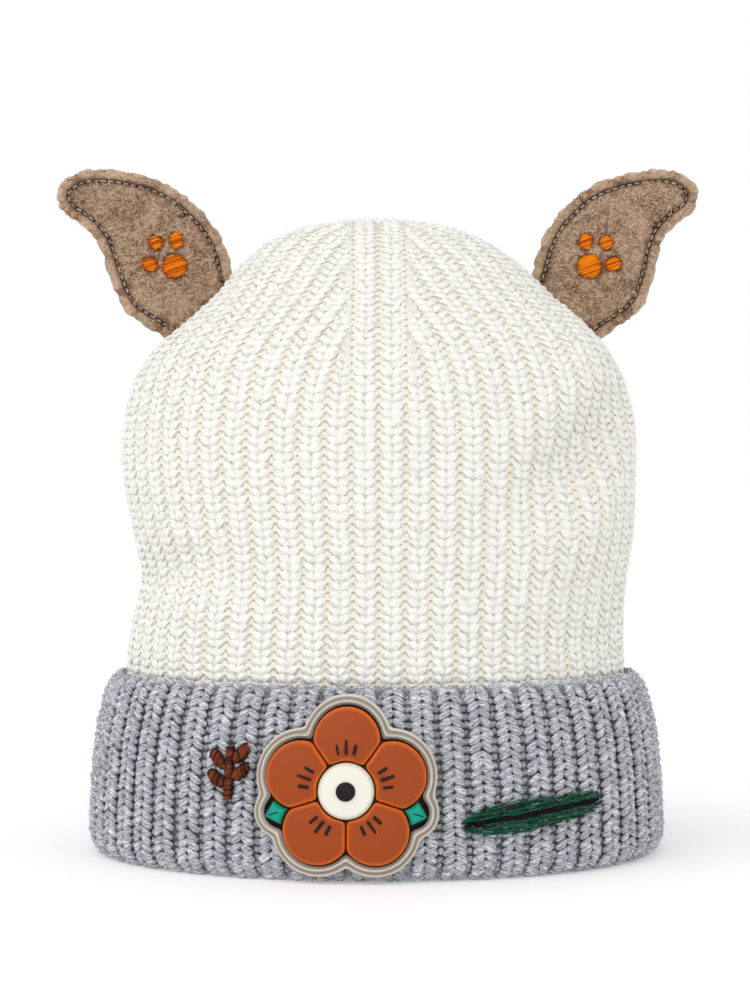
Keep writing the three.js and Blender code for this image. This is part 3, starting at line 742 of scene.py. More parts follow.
cuff = {
    "height": 51.8,
    "reach": 11.0,
    "widestHeight": 9.0,
    "taper": 5.2,
    "rowPitch": 2.25,
    "inner": 0.04,
    "outer": 0.68,
    "start": -0.48,
    "end": 0.46,
    "hump": ((0, 0.3, 0.65, 1), (-1.15, -0.8, -0.8, -1.4)),
    "girth": ((0, 0.3, 0.65, 1), (0.76, 1.08, 1.2, 0.96)),
    "rings": 5,
    "sides": 5,
    "flatten": 0.84,
    "deep": 2.6,
    "unevenness": 0.12,
    "scatter": (0.035, 0.07, 0.08),
    "shellDepth": 2.1,
    "shellRelief": 0.9,
    "shellRows": 60,
    "fuzzFrom": 4.0,
    "fuzzTo": 9.5,
    "fuzz": {"count": 4600, "depth": -0.3, "lean": 0.6, "length": 1.8, "width": 0.045},
    # the face's section from the pocket over the top and down to the foot: out from the hem, height
    "section": (
        (0.5, 45.0),
        (0.55, 48.0),
        (0.9, 50.5),
        (2.3, 51.75),
        (4.15, 50.4),
        (5.6, 48.4),
        (6.9, 45.0),
        (8.73, 37.3),
        (9.9, 29.0),
        (10.6, 20.7),
        (10.95, 12.0),
        (10.96, 5.4),
        (9.76, 2.07),
        (7.14, 0.05),
        (4.6, 0.0),
        (2.6, 0.25),
    ),
    # on round the foot, up inside the hem and down again to the pocket: out, height, share of the ribs
    "inside": (
        (-0.6, 0.4, 0.3),
        (-2.2, 1.6, 0.6),
        (-3.0, 4.2, 0.8),
        (-3.1, 9.0, 0.8),
        (-3.0, 13.2, 0.5),
        (-1.6, 13.9, 0.2),
        (-0.2, 13.6, 0),
        (0.3, 9.0, 0),
        (1.2, 6.0, 0),
        (3.2, 5.4, 0),
        (4.3, 7.5, 0),
        (3.4, 20.0, 0),
        (1.6, 34.0, 0),
    ),
}
cuffLine = throughPoints(np.array(cuff["section"]), np.linspace(0, 1, 1200))
cuffLength = np.concatenate([[0], np.cumsum(np.linalg.norm(np.diff(cuffLine, axis=0), axis=1))])
hemLeft, hemRight, hemDepth = crownRows[0, 1:]
cuffRowTotal = int(cuffLength[-1] / cuff["rowPitch"])


def cuffSection(place):
    # the section's point and outward direction at a length along it
    out, height = (np.interp(place, cuffLength, cuffLine[:, i]) for i in (0, 1))
    nudge = 0.3
    before, after = (
        np.stack([np.interp(place + by, cuffLength, cuffLine[:, i]) for i in (0, 1)], -1)
        for by in (-nudge, nudge)
    )
    ahead = unit(after - before)
    return out, height, -ahead[..., 1], ahead[..., 0]


def cuffPlaced(turn, place, out):
    radial, height, outward, upward = cuffSection(place)
    radial = radial + outward * out
    height = height + upward * out
    points = ovalPoint(turn, height, hemLeft + radial, hemRight + radial, hemDepth + radial)
    plan = unit(np.stack([hemDepth * np.sin(turn), -hemLeft * np.cos(turn), 0 * turn], -1))
    return points, plan * outward[..., None] + np.array([0, 0, 1]) * upward[..., None]


def cuffTurn(quarter, rib, across):
    share = quarter + (rib + 0.5 + across * 0.5) / hat["ribsPerQuarter"]
    return evenTurn(share * quarterTurn)


def cuffPlace(quarter, rib, across, row, out):
    points, up = cuffPlaced(cuffTurn(quarter, rib, across), row * cuff["rowPitch"], out)
    return points, up, 1


purl = {
    **cuff,
    "inner": 1.0,
    "outer": 0.78,
    "start": 0.36,
    "end": -0.06,
    "hump": ((0, 0.5, 1), (-2.35, -2.1, -2.45)),
    "girth": ((0, 0.5, 1), (0.8, 0.96, 0.8)),
    "rings": 3,
}


def buildCuffKnit():
    rib, row, side = quarterLegs(cuffRowTotal)
    for number in range(4):
        quarter = np.full(len(rib), number)
        for name, knit in (("cuff_knit", cuff), ("cuff_purl", purl)):
            made = knitLegs(knit, quarter, rib, row + 0.5, side, cuffPlace)
            addMesh(f"{name}_{number + 1}", *made, greyYarn, ["cuff"], "grey_knit")
        print("cuff knit", number + 1, len(rib), "stitches")


buildCuffKnit()


def buildCuffShell():
    quarter, rib, across = ribGrid()
    turn = cuffTurn(quarter, rib, across)
    relief = 0.5 * np.cos(across * math.pi) - 0.5
    places = np.linspace(0.4, cuffLength[-1] - 0.2, cuff["shellRows"])
    depth = cuff["shellRelief"] * relief - cuff["shellDepth"]
    rings = [cuffPlaced(turn, np.full(len(turn), place), depth)[0] for place in places]
    for radial, height, ribbed in cuff["inside"]:
        radial = radial - ribbed * relief
        rings.append(ovalPoint(turn, height, hemLeft + radial, hemRight + radial, hemDepth + radial))
    rings = np.array(rings)
    rows, columns = rings.shape[:2]
    quads = sheetFaces(rows, columns, True)[:, ::-1]
    lengths = np.linalg.norm(np.diff(rings[:, 0], axis=0), axis=1)
    height = np.concatenate([[0], np.cumsum(lengths)]) / cuff["rowPitch"]
    corners = {"knit": knitCorners(quads, columns, height)}
    addMesh("cuff_shell", rings.reshape(-1, 3), [quads], corners, {}, greyShell, ["cuff"], "grey_knit")


buildCuffShell()


def buildCuffFuzz():
    look = cuff["fuzz"]
    turn = evenTurn(chance.random(look["count"]) * fullTurn)
    place = chance.uniform(cuff["fuzzFrom"], cuffLength[-1] - cuff["fuzzTo"], look["count"])
    root, up = cuffPlaced(turn, place, look["depth"])
    addMesh("cuff_fuzz", *fuzz(look, root, unit(up)), greyYarn, [], "grey_knit")


buildCuffFuzz()
print("cuff built")


ear = {
    "length": 54.0,
    "width": 36.3,
    "forward": 3.0,
    "seatHigh": 166.0,
    "seatLow": 148.0,
    "sunk": -0.9,
    "rollRadius": 2.0,
    "field": 3.15,
    "grooveAt": 3.5,
    "grooveDeep": 1.5,
    "rings": (0.12, 0.4, 0.8, 1.3, 1.9, 2.5, 2.95, 3.4, 3.85, 4.5),
    "spacing": 1.0,
    "fibres": 9000,
    "stitchPitch": 2.15,
    "stitchLength": 1.25,
    "crimps": 26,
    "crimpDeep": 0.42,
    "crimpDraw": 0.5,
    "mostDraw": 0.6,
    "swell": 0.1,
    "padDeep": 0.4,
    "grooveWidth": 0.72,
    "joinWidth": 1.2,
    "nap": {"length": 1.6, "above": 0.06, "width": 0.12, "curl": 0.6, "lift": 0.1, "tones": (0.35, 0.75)},
    # tones: the felt, and how much lighter or darker its parts are: lighter on the roll, and painted shade
    # in the groove, the creases and round the pads
    "tone": {"felt": 0.5, "roll": 0.26, "groove": -0.62, "crimpShade": -0.3, "pad": -0.5},
    "seamFoot": 0.22,
    "seamRise": 0.34,
    "seamRadius": 0.19,
    # label, side, length, degrees from upright
    "both": (("left", -1, 1.0, 45.5), ("right", 1, 0.95, 42.0)),
    # the free edge from the seam's top round to its foot: along, across
    "edge": (
        (0.115, 0.454),
        (0.232, 0.517),
        (0.387, 0.542),
        (0.61, 0.494),
        (0.84, 0.294),
        (0.975, 0.08),
        (0.992, -0.14),
        (0.893, -0.245),
        (0.733, -0.214),
        (0.62, -0.24),
        (0.453, -0.368),
        (0.29, -0.459),
        (0.15, -0.436),
    ),
}
# name, along, across, half length, half width, turn
pawPads = (
    ("pad", 0.253, 0.072, 0.067, 0.1, 45),
    ("toe_1", 0.354, -0.056, 0.0455, 0.0565, -25),
    ("toe_2", 0.414, 0.1, 0.04, 0.059, 20),
    ("toe_3", 0.343, 0.23, 0.0485, 0.055, 44),
)
thread = {"radius": 0.21, "pitch": 0.46, "foot": 3.1, "rise": 0.8, "slope": 20, "margin": 0.25}


def feltFinish(name, dark, middle, light):
    # `tone` is low where shade is painted into the seam's groove and the creases, and differs from hair to
    # hair
    finish = Finish(name)
    where = finish.place()
    cloud = finish.noise(where, 130, 3.0, 0.6)
    nap = finish.noise(finish.stretched(where, (1, 1, 2.2), (0.4, 0.7, 0.2)), 620, 4.0, 0.65)
    speck = finish.noise(where, 2400, 2.0, 0.7)
    tone = finish.value("tone")
    shade = (cloud - 0.5) * 0.9 + (nap - 0.5) * 0.8 + (speck - 0.5) * 0.2 + tone
    colour = finish.ramp(shade, (0.12, dark), (0.5, middle), (0.95, light))
    normal = finish.bump(nap + speck * 0.5, 0.8, 0.0006)
    settings = {"Sheen Weight": 0.3, "Sheen Roughness": 0.45, "Specular IOR Level": 0.12}
    return finish.surface(colour, 0.95, normal, **settings)


def threadFinish(name, dark, light, gloss, shine):
    finish = Finish(name)
    along, around = finish.across("yarn")
    tone = finish.value("tone")
    twist = finish.wave(along * 7 + around * 3)
    glint = finish.noise(finish.place(), 1500, 2.0, 0.5)
    share = finish.smooth(tone * 0.8 + glint * 0.4 + twist * 0.1, 0.12, 0.9)
    colour = finish.mix(share, dark, light)
    normal = finish.bump(twist * 0.5 + glint, 0.35, 0.0001)
    settings = {"Specular IOR Level": shine}
    return finish.surface(colour, finish.smooth(glint, 0.2, 0.8) * 0.2 + gloss, normal, **settings)


felt = feltFinish("taupe felt", tint(72, 49, 36), tint(145, 114, 90), tint(212, 183, 155))
orangeThread = threadFinish("orange thread", tint(172, 72, 0), tint(253, 146, 0), 0.34, 0.14)
brownThread = threadFinish("brown thread", tint(26, 7, 2), tint(136, 60, 28), 0.34, 0.2)
greenThread = threadFinish("green thread", tint(0, 16, 10), tint(0, 88, 58), 0.26, 0.2)
darkThread = threadFinish("dark thread", tint(8, 5, 5), tint(34, 18, 16), 0.4, 0.1)
stitchThread = threadFinish("ear stitching thread", tint(178, 162, 144), tint(226, 215, 198), 0.45, 0.3)


def earSpace(side, length, splay):
    lean = splay * degree
    middle = (ear["seatLow"] + ear["seatHigh"]) / 2
    seat = crownPoint(side * quarterTurn, crownStep(middle), 0.3)[0][0]
    space = {
        "seat": seat,
        "length": length * ear["length"],
        "along": np.array([side * math.sin(lean), 0, math.cos(lean)]),
        "across": np.array([-side * math.cos(lean), 0, math.sin(lean)]),
    }
    heights = np.linspace(ear["seatLow"], ear["seatHigh"], 25)
    seam = crownPoint(side * quarterTurn, crownStep(heights), ear["sunk"])[0] - seat
    space["seam"] = np.stack([seam @ space["along"], seam @ space["across"]], -1)
    edge = np.array(ear["edge"]) * (space["length"], ear["width"])
    corners = np.concatenate([space["seam"][-1:], edge, space["seam"][:1]])
    space["free"] = throughPoints(corners, np.linspace(0, 1, 221), 0.0)
    return space


# A point of the ear: x along it, y across it, z towards the back of the hat.
def earPlace(space, x, y, z):
    lean = ear["forward"] * np.maximum(0, x / space["length"]) ** 2
    flat = space["seat"] + x[..., None] * space["along"] + y[..., None] * space["across"]
    return flat + (z - lean)[..., None] * np.array([0, 1, 0])


# Distance to an open line, and the length along the line of the nearest point.
def awayFrom(points, line):
    start, run = line[:-1], np.diff(line, axis=0)
    lengths = np.linalg.norm(run, axis=1)
    before = np.cumsum(lengths) - lengths
    t = ((points[:, None] - start) * run).sum(-1) / (lengths**2)
    t = np.clip(t, 0, 1)
    gap = np.linalg.norm(points[:, None] - start - t[..., None] * run, axis=-1)
    best = gap.argmin(1)
    rows = np.arange(len(points))
    return gap[rows, best], before[best] + t[rows, best] * lengths[best]


def ease(value):
    value = np.clip(value, 0, 1)
    return value * value * (3 - 2 * value)


def creased(space, along, share):
    # how deep in the creases of the free edge each place lies
    return sum(np.exp(-(((along - place) / (width * share)) ** 2)) for place, width in space["crimps"])


def earHalf(space, flat):
    # half the ear's thickness: a rolled edge, the sewn groove, then a swelling field
    free, along = awayFrom(flat, space["free"])
    seam, _ = awayFrom(flat, space["seam"])
    roll = ear["rollRadius"] * np.sqrt(1 - (1 - np.clip(free / ear["rollRadius"], 0, 1)) ** 2)
    half = roll + (ear["field"] - ear["rollRadius"]) * ease((free - ear["grooveAt"]) / 7)
    edgeOnly = 1 - ease((free - 2.4) / 1.2)
    half = half * (1 - ear["crimpDeep"] * np.minimum(creased(space, along, 1), 1) * edgeOnly)
    half = half - ear["grooveDeep"] * np.exp(-(((free - ear["grooveAt"]) / ear["grooveWidth"]) ** 2))
    x, y = flat[:, 0], flat[:, 1]
    swell = np.sin(x * 0.31 + y * 0.17) + np.sin(y * 0.42 - x * 0.13 + 1.0) + np.sin(x * 0.7 + 2.0)
    half = half + ear["swell"] * swell * ease((free - 4) / 4)
    for _, padAlong, padAcross, padLength, _, _ in pawPads:
        gap = np.hypot(x - padAlong * space["length"], y - padAcross * ear["width"])
        half = half - ear["padDeep"] * np.exp(-((gap / (padLength * ear["length"] + 1.2)) ** 4))
    join = np.sqrt(1 - (1 - np.clip(seam / ear["joinWidth"], 0, 1)) ** 2) * (0.78 + 0.22 * ease(seam / 8))
    return half * join


def inwardFrom(line, run, middle):
    # the direction square to a flat line that leads towards its middle
    run = unit(run)
    inward = np.stack([run[:, 1], -run[:, 0]], -1)
    return -inward if ((middle - line) * inward).sum() < 0 else inward


def puckered(space):
    # the free edge as sewn: drawn in at the creases and a little wavy between them
    line = space["free"]
    inward = inwardFrom(line, np.gradient(line, axis=0), line.mean(0))
    along = np.concatenate([[0], np.cumsum(np.linalg.norm(np.diff(line, axis=0), axis=1))])
    dip = 0.16 * np.sin(along * 0.83) + 0.1 * np.sin(along * 1.9 + 1)
    dip = dip + ear["crimpDraw"] * creased(space, along, 0.7)
    ends = ease(along / 2) * ease((along[-1] - along) / 2)
    return line + inward * (np.minimum(dip, ear["mostDraw"]) * ends)[:, None]


def earFlat(space):
    outline = np.concatenate([puckered(space)[:-1], space["seam"][:-1]])
    loop = np.concatenate([outline, outline[:1]])
    run = np.roll(outline, -1, 0) - np.roll(outline, 1, 0)
    inward = inwardFrom(outline, run, outline.mean(0))
    points = [outline]
    for distance in ear["rings"]:
        ring = outline + inward * distance
        points.append(ring[awayFrom(ring, loop)[0] > distance - 0.02])
    low, high = outline.min(0), outline.max(0)
    x, y = np.meshgrid(
        np.arange(low[0], high[0], ear["spacing"]), np.arange(low[1], high[1], ear["spacing"] * 0.87)
    )
    x = x + 0.5 * ear["spacing"] * (np.arange(len(x))[:, None] % 2)
    grid = np.stack([x.ravel(), y.ravel()], -1)
    ahead = loop[1:] - loop[:-1]
    aside = grid[:, None] - loop[:-1]
    crossing = (loop[:-1, 1] > grid[:, None, 1]) != (loop[1:, 1] > grid[:, None, 1])
    rise = np.where(np.abs(ahead[:, 1]) < 1e-9, 1e-9, ahead[:, 1])
    left = aside[..., 0] < ahead[:, 0] * aside[..., 1] / rise
    inside = (crossing & left).sum(1) % 2 == 1
    grid = grid[inside]
    points.append(grid[awayFrom(grid, loop)[0] > ear["rings"][-1] + 0.6])
    flat = [Vector(point) for point in np.concatenate(points)]
    found = delaunay_2d_cdt(flat, [], [list(range(len(outline)))], 1, 1e-5)
    return np.array([list(v) for v in found[0]]), np.array([f for f in found[2] if len(f) == 3]), loop


def earTone(space, flat, pads):
    # painted shade darkens the groove, the creases of the edge and the felt close round the pads
    free, along = awayFrom(flat, space["free"])
    shades = ear["tone"]
    tone = shades["felt"] + shades["roll"] * (1 - ease((free - 2.0) / 1.0))
    tone = tone + shades["groove"] * np.exp(-(((free - ear["grooveAt"]) / 0.45) ** 2))
    creases = np.minimum(creased(space, along, 0.6), 1)
    tone = tone + shades["crimpShade"] * creases * (1 - ease((free - 2.4) / 1.2))
    clear = (np.abs(free - ear["grooveAt"]) > 0.75) & (free > 0.5)
    # painted shade over and round each pad, on the front only
    for _, padAlong, padAcross, padLength, padWidth, _ in pads:
        gap = np.hypot(flat[:, 0] - padAlong * space["length"], flat[:, 1] - padAcross * ear["width"])
        reach = (padLength * ear["length"] + padWidth * ear["width"]) / 2
        tone = tone + shades["pad"] * np.exp(-((gap / (reach + 0.2)) ** 10))
        clear = clear & (gap > reach + 0.1)
    return tone, clear, 0.35 + 0.65 * ease((free - 1.5) / 3)


def earNap(points, faces, clear, short, count):
    # curled hairs lying all over the felt
    a, b, c = (points[faces[:, i]] for i in range(3))
    normal = np.cross(b - a, c - a)
    area = np.linalg.norm(normal, axis=1) * clear[faces].all(1)
    pick = chance.choice(len(faces), count, p=area / area.sum())
    first, second = np.sqrt(chance.random(count)), chance.random(count)
    weights = np.stack([1 - first, first * (1 - second), first * second], -1)[..., None]
    root = (points[faces[pick]] * weights).sum(1)
    up = unit(normal[pick])
    nap = ear["nap"]
    root = root + nap["above"] * up
    length = nap["length"] * short[faces[pick]].mean(1)[:, None, None]
    points, strips, layers, values = hairs(
        root, anyWay(up), up, length, nap["width"], nap["curl"], nap["lift"]
    )
    values["tone"] = nap["tones"][0] + nap["tones"][1] * values["tone"]
    return points, strips, layers, values


# how much satin stitches differ in height, thickness and length, and the stitches under their gaps, dark as
# painted shade
satinLook = {
    "unevenHeight": 0.06,
    "unevenGirth": 0.12,
    "ragged": 0.17,
    "underReach": 0.32,
    "underDrop": 0.22,
    "underShade": -0.5,
}


# Satin stitches, each a thread over a low arch between two points of a face. Dark stitches under the gaps,
# underlay coloured as painted shade between the threads, reach a little further than the bright ones.
def satin(starts, ends, foot, rise, radius, place, rings=7, sides=5, under=True):
    count = len(starts)
    tone = chance.random((count, 1))
    drop = np.zeros((count, 1))
    if under:
        way = unit(ends - starts)
        low, high = (starts[1:] + starts[:-1]) / 2, (ends[1:] + ends[:-1]) / 2
        near = np.linalg.norm(starts[1:] - starts[:-1], axis=1) < radius * 8
        reach = satinLook["underReach"] * way[1:]
        starts = np.concatenate([starts, (low - reach)[near]])
        ends = np.concatenate([ends, (high + reach)[near]])
        tone = np.concatenate([tone, np.full((near.sum(), 1), satinLook["underShade"])])
        drop = np.concatenate([drop, np.full((near.sum(), 1), satinLook["underDrop"])])
    t = np.linspace(0, 1, rings)
    flat = starts[:, None] + (ends - starts)[:, None] * t[:, None]
    arch = np.sqrt(np.clip(1 - (2 * t - 1) ** 2, 0, 1))
    height = foot - drop + rise * (arch - 0.25)
    height = height + satinLook["unevenHeight"] * chance.normal(0, 1, drop.shape)
    centres = place(flat[..., 0], flat[..., 1], height)
    above = place(flat[..., 0], flat[..., 1], height + 0.1)
    girth = 1 + satinLook["unevenGirth"] * chance.normal(0, 1, drop.shape)
    girth = radius * girth * np.ones(rings)
    points, faces, layers = tubes(centres, unit(above - centres), girth, sides)
    tone = np.broadcast_to(tone, points.shape[:2])
    return points.reshape(-1, 3), faces, layers, {"tone": tone}


def ovalStitches(middle, halfLength, halfWidth, turn, pitch, way):
    # ends of the stitches that cross an oval in the direction `way`, side by side
    away = way + quarterTurn
    spread = math.hypot(halfLength * math.cos(away - turn), halfWidth * math.sin(away - turn))
    count = max(3, round(2 * spread / pitch))
    offset = ((np.arange(count) + 0.5) / count * 2 - 1) * spread

    def within(angle, size):
        return np.stack(
            [size * math.cos(angle - turn) / halfLength, size * math.sin(angle - turn) / halfWidth], -1
        )

    start, run = within(away, offset), within(way, np.ones(count))
    a, b, c = (run * run).sum(-1), (start * run).sum(-1), (start * start).sum(-1) - 1
    root = np.sqrt(np.maximum(0, b * b - a * c))
    along = np.array([math.cos(way), math.sin(way)])
    centre = np.array(middle) + offset[:, None] * (math.cos(away), math.sin(away))
    ragged = satinLook["ragged"] * chance.normal(0, 1, (2, count))
    low, high = (-b - root) / a + ragged[0], (-b + root) / a + ragged[1]
    return centre + low[:, None] * along, centre + high[:, None] * along


def buildEar(label, side, length, splay):
    space = earSpace(side, length, splay)
    total = awayFrom(space["free"][-1:], space["free"])[1][0]
    crimps = chance.uniform(0, total, ear["crimps"])
    space["crimps"] = [(place, 0.5 + 0.6 * chance.random()) for place in crimps]
    flat, tris, loop = earFlat(space)
    half = earHalf(space, flat)
    onEdge = awayFrom(flat, loop)[0] < 1e-3
    half[onEdge] = 0
    front = earPlace(space, flat[:, 0], flat[:, 1], -half)
    back = earPlace(space, flat[:, 0], flat[:, 1], half)
    number = np.arange(len(flat)) + len(flat)
    number[onEdge] = np.arange(len(flat))[onEdge]
    points = np.concatenate([front, back])
    a, b, c = (front[tris[0][i]] for i in range(3))
    if np.cross(b - a, c - a)[1] > 0:
        tris = tris[:, ::-1]
    faces = np.concatenate([tris, number[tris[:, ::-1]]])
    # points that no face uses are left out
    used = np.unique(faces)
    renumber = np.zeros(len(points), int)
    renumber[used] = np.arange(len(used))
    points, faces = points[used], renumber[faces]
    sides = zip(earTone(space, flat, pawPads), earTone(space, flat, ()))
    tone, clear, short = (np.concatenate(value)[used] for value in sides)
    values = {"tone": tone}
    piece = addMesh(f"ear_{label}_felt", points, [faces], {}, values, felt, [f"ear_{label}"], "felt")
    nap = earNap(points, faces, clear, short, ear["fibres"])
    addMesh(f"ear_{label}_nap", *nap, felt, [], "felt")
    # stitches along the groove, on both faces
    line = space["free"]
    groove = line + inwardFrom(line, np.gradient(line, axis=0), flat.mean(0)) * ear["grooveAt"]
    groove = groove[awayFrom(groove, line)[0] > ear["grooveAt"] - 0.1]
    gaps = np.linalg.norm(np.diff(groove, axis=0), axis=1)
    where = np.concatenate([[0], np.cumsum(gaps)])
    starts = np.arange(1.0, where[-1] - ear["stitchLength"] - 0.5, ear["stitchPitch"])
    ends = [
        np.stack([np.interp(starts + reach, where, groove[:, i]) for i in (0, 1)], -1)
        for reach in (0, ear["stitchLength"])
    ]
    depth = earHalf(space, ends[0])
    for way, name in ((-1, "front"), (1, "back")):

        def onFace(x, y, height, way=way):
            return earPlace(space, x, y, way * (height + depth[:, None]))

        made = satin(*ends, ear["seamFoot"], ear["seamRise"], ear["seamRadius"], onFace, under=False)
        addMesh(f"ear_{label}_seam_{name}", *made, stitchThread, [], "felt")

    def onFront(x, y, height):
        return earPlace(space, x, y, -height)

    slope = thread["slope"] * degree
    level = np.array([math.cos(slope), 0, math.sin(slope)])
    way = math.atan2(level @ space["across"], level @ space["along"])
    for name, padAlong, padAcross, padLength, padWidth, turn in pawPads:
        middle = (padAlong * space["length"], padAcross * ear["width"])
        halfLength = padLength * ear["length"] - thread["margin"]
        halfWidth = padWidth * ear["width"] - thread["margin"]
        ends = ovalStitches(middle, halfLength, halfWidth, turn * degree, thread["pitch"], way)
        made = satin(*ends, thread["foot"], thread["rise"], thread["radius"], onFront)
        node = f"paw_{label}_{name}"
        addMesh(f"{node}_stitches", *made, orangeThread, [node], "orange_thread")
    print("ear", label, "built")


for label, side, length, splay in ear["both"]:
    buildEar(label, side, length, splay)


badge = {
    "middle": (-8.5, 24.7),
    "foot": 0.5,
    "fieldFoot": 1.7,
    "fieldThick": 0.5,
    "fieldReach": 0.35,
    "colourFoot": 2.5,
    "petalCount": 5,
    "petalDistance": 12.9,
    "petalRadius": 9.1,
    "petalGap": 0.22,
    "leafTip": 22.6,
    "leafRadius": 4.0,
    "line": 0.6,
    "samples": 300,
    # each pad's rise and the width of its rounded edge
    "petal": (1.8, 2.4),
    "leaf": (1.8, 0.8),
    "centre": (1.8, 1.3),
    "centreRadius": 7.4,
    "bud": (0.9, 0.9),
    "budRadius": 2.5,
    # lean, and where each dark line starts and ends from the flower's middle
    "veins": ((-0.34, 9.6, 12.0), (0, 9.6, 13.2), (0.34, 9.6, 12.0)),
    "veinRadius": 0.4,
    "leafVein": (0.36, 0.8),
    "leafVeinRadius": 0.22,
    # the tray's section: out from the flower, height off the knit
    "rim": (
        (0.9, 0.9),
        (0.95, 1.9),
        (1.05, 2.4),
        (1.25, 2.62),
        (1.5, 2.66),
        (1.72, 2.45),
        (1.86, 1.9),
        (2.05, 1.72),
        (2.25, 1.8),
        (2.45, 2.08),
        (2.7, 2.12),
        (2.95, 1.9),
        (3.1, 1.4),
        (3.1, 0.3),
        (2.95, 0.0),
    ),
}
rimInside, rimOutside = badge["rim"][0][0], badge["rim"][-2][0]
badgeMiddle = np.array(badge["middle"])
petalStep = fullTurn / badge["petalCount"]
petalAngles = [quarterTurn + i * petalStep for i in range(badge["petalCount"])]
leafAngles = [-quarterTurn + side * petalStep for side in (-1, 1)]


def onCuff(x, y, out):
    lean = (y - cuff["widestHeight"]) / (cuff["height"] - cuff["widestHeight"])
    radius = (hemLeft + hemRight) / 4 + hemDepth / 2 + cuff["reach"]
    radial = cuff["reach"] - cuff["taper"] * lean * lean + out
    turn = evenTurn(x / radius)
    return ovalPoint(turn, y, hemLeft + radial, hemRight + radial, hemDepth + radial)


def rubberFinish(name, middle, edge, gloss):
    # moulded soft rubber: `inset` is the distance in from a field's edge, in millimetres
    finish = Finish(name)
    where = finish.place()
    grain = finish.noise(where, 3200, 2.0, 0.6)
    cloud = finish.noise(where, 160, 2.0, 0.5)
    inset = finish.value("inset")
    colour = finish.mix(finish.smooth(inset + cloud * 0.5, 0.35, 1.5), edge, middle)
    colour = finish.mix(cloud * 0.12, colour, edge)
    normal = finish.bump(grain * 0.5 + cloud, 0.12, 0.0003)
    return finish.surface(colour, grain * 0.12 + gloss, normal, **{"Specular IOR Level": 0.22})


# the rim's middle colour is painted shade for its groove and the tray floor
rimRubber = rubberFinish("grey rim rubber", tint(150, 140, 127), tint(210, 202, 190), 0.42)
darkRubber = rubberFinish("dark rubber", tint(24, 15, 15), tint(14, 9, 9), 0.36)
brownRubber = rubberFinish("brown rubber", tint(150, 64, 16), tint(206, 92, 14), 0.4)
creamRubber = rubberFinish("cream rubber", tint(230, 229, 216), tint(206, 200, 180), 0.42)
tealRubber = rubberFinish("teal rubber", tint(0, 156, 132), tint(0, 118, 100), 0.42)


def discReach(angle, at, distance, radius):
    aside = distance * np.sin(angle - at)
    ahead = distance * np.cos(angle - at)
    return np.where(np.abs(aside) < radius, ahead + np.sqrt(np.maximum(0, radius**2 - aside**2)), 0)


def softened(reach, times):
    for _ in range(times):
        reach = (np.roll(reach, 1) + 2 * reach + np.roll(reach, -1)) / 4
    return reach


def flowerOutline(out):
    angle = quarterTurn + fullTurn * np.arange(badge["samples"]) / badge["samples"]
    discs = [(at, badge["petalDistance"], badge["petalRadius"]) for at in petalAngles]
    discs += [(at, badge["leafTip"] - badge["leafRadius"], badge["leafRadius"]) for at in leafAngles]
    reach = np.max([discReach(angle, at, distance, radius + out) for at, distance, radius in discs], 0)
    return badgeMiddle + softened(reach, 6)[:, None] * np.stack([np.cos(angle), np.sin(angle)], -1)


def spokeways(points, angle):
    # flat points drawn along a spoke of the flower, turned to where that spoke lies
    points = np.asarray(points, float)
    turned = np.array([[math.cos(angle), math.sin(angle)], [-math.sin(angle), math.cos(angle)]])
    return badgeMiddle + points @ turned


# A closed form through rings of flat points at heights off the cuff, with a point at each end.
def moulded(name, rings, middle, finish, node, slot):
    samples = len(rings[0][0])
    points = [onCuff(ring[:, 0], ring[:, 1], height) for ring, height, _ in rings]
    tips = [onCuff(np.array([middle[0]]), np.array([middle[1]]), rings[i][1]) for i in (0, -1)]
    j = np.arange(samples)
    k = (j + 1) % samples
    total = len(rings) * samples
    first = np.stack([k, j, np.full(samples, total)], -1)
    last = (len(rings) - 1) * samples + np.stack([j, k], -1)
    last = np.concatenate([last, np.full((samples, 1), total + 1)], 1)
    faces = [sheetFaces(len(rings), samples), first, last]
    inset = {"inset": np.concatenate([np.full(samples, ring[2]) for ring in rings] + [[9, 9]])}
    addMesh(name, np.concatenate(points + tips), faces, {}, inset, finish, [node], slot)


def shrink(outline, middle, inset):
    away = outline - middle
    reach = np.linalg.norm(away, axis=1, keepdims=True)
    return middle + away * np.maximum(0.02, 1 - inset / reach)


def buildPad(name, outline, middle, foot, shape, finish, node, slot):
    rise, edge = shape
    reach = np.linalg.norm(outline - middle, axis=1).min()
    rings = [(shrink(outline, middle, reach * 0.6), foot, 9), (outline, foot, 0)]
    for angle in np.linspace(0, quarterTurn, 7):
        inset = edge * (1 - math.cos(angle))
        rings.append((shrink(outline, middle, inset), foot + rise * (0.3 + 0.5 * math.sin(angle)), inset))
    for share in (0.35, 0.55, 0.75, 0.92):
        inset = edge + (reach - edge) * share
        height = foot + rise * (0.8 + 0.2 * math.sin(share * quarterTurn))
        rings.append((shrink(outline, middle, inset), height, inset))
    moulded(name, rings, middle, finish, node, slot)


def buildLines(name, lines, height, rise, radius):
    # short raised dark lines
    lines = np.array(lines)
    points, faces, corners, _ = satin(lines[:, 0], lines[:, 1], height, rise, radius, onCuff, 9, 8, False)
    inset = {"inset": np.full(len(points), 3.0)}
    addMesh(name, points, faces, corners, inset, darkRubber, [], "dark_rubber")


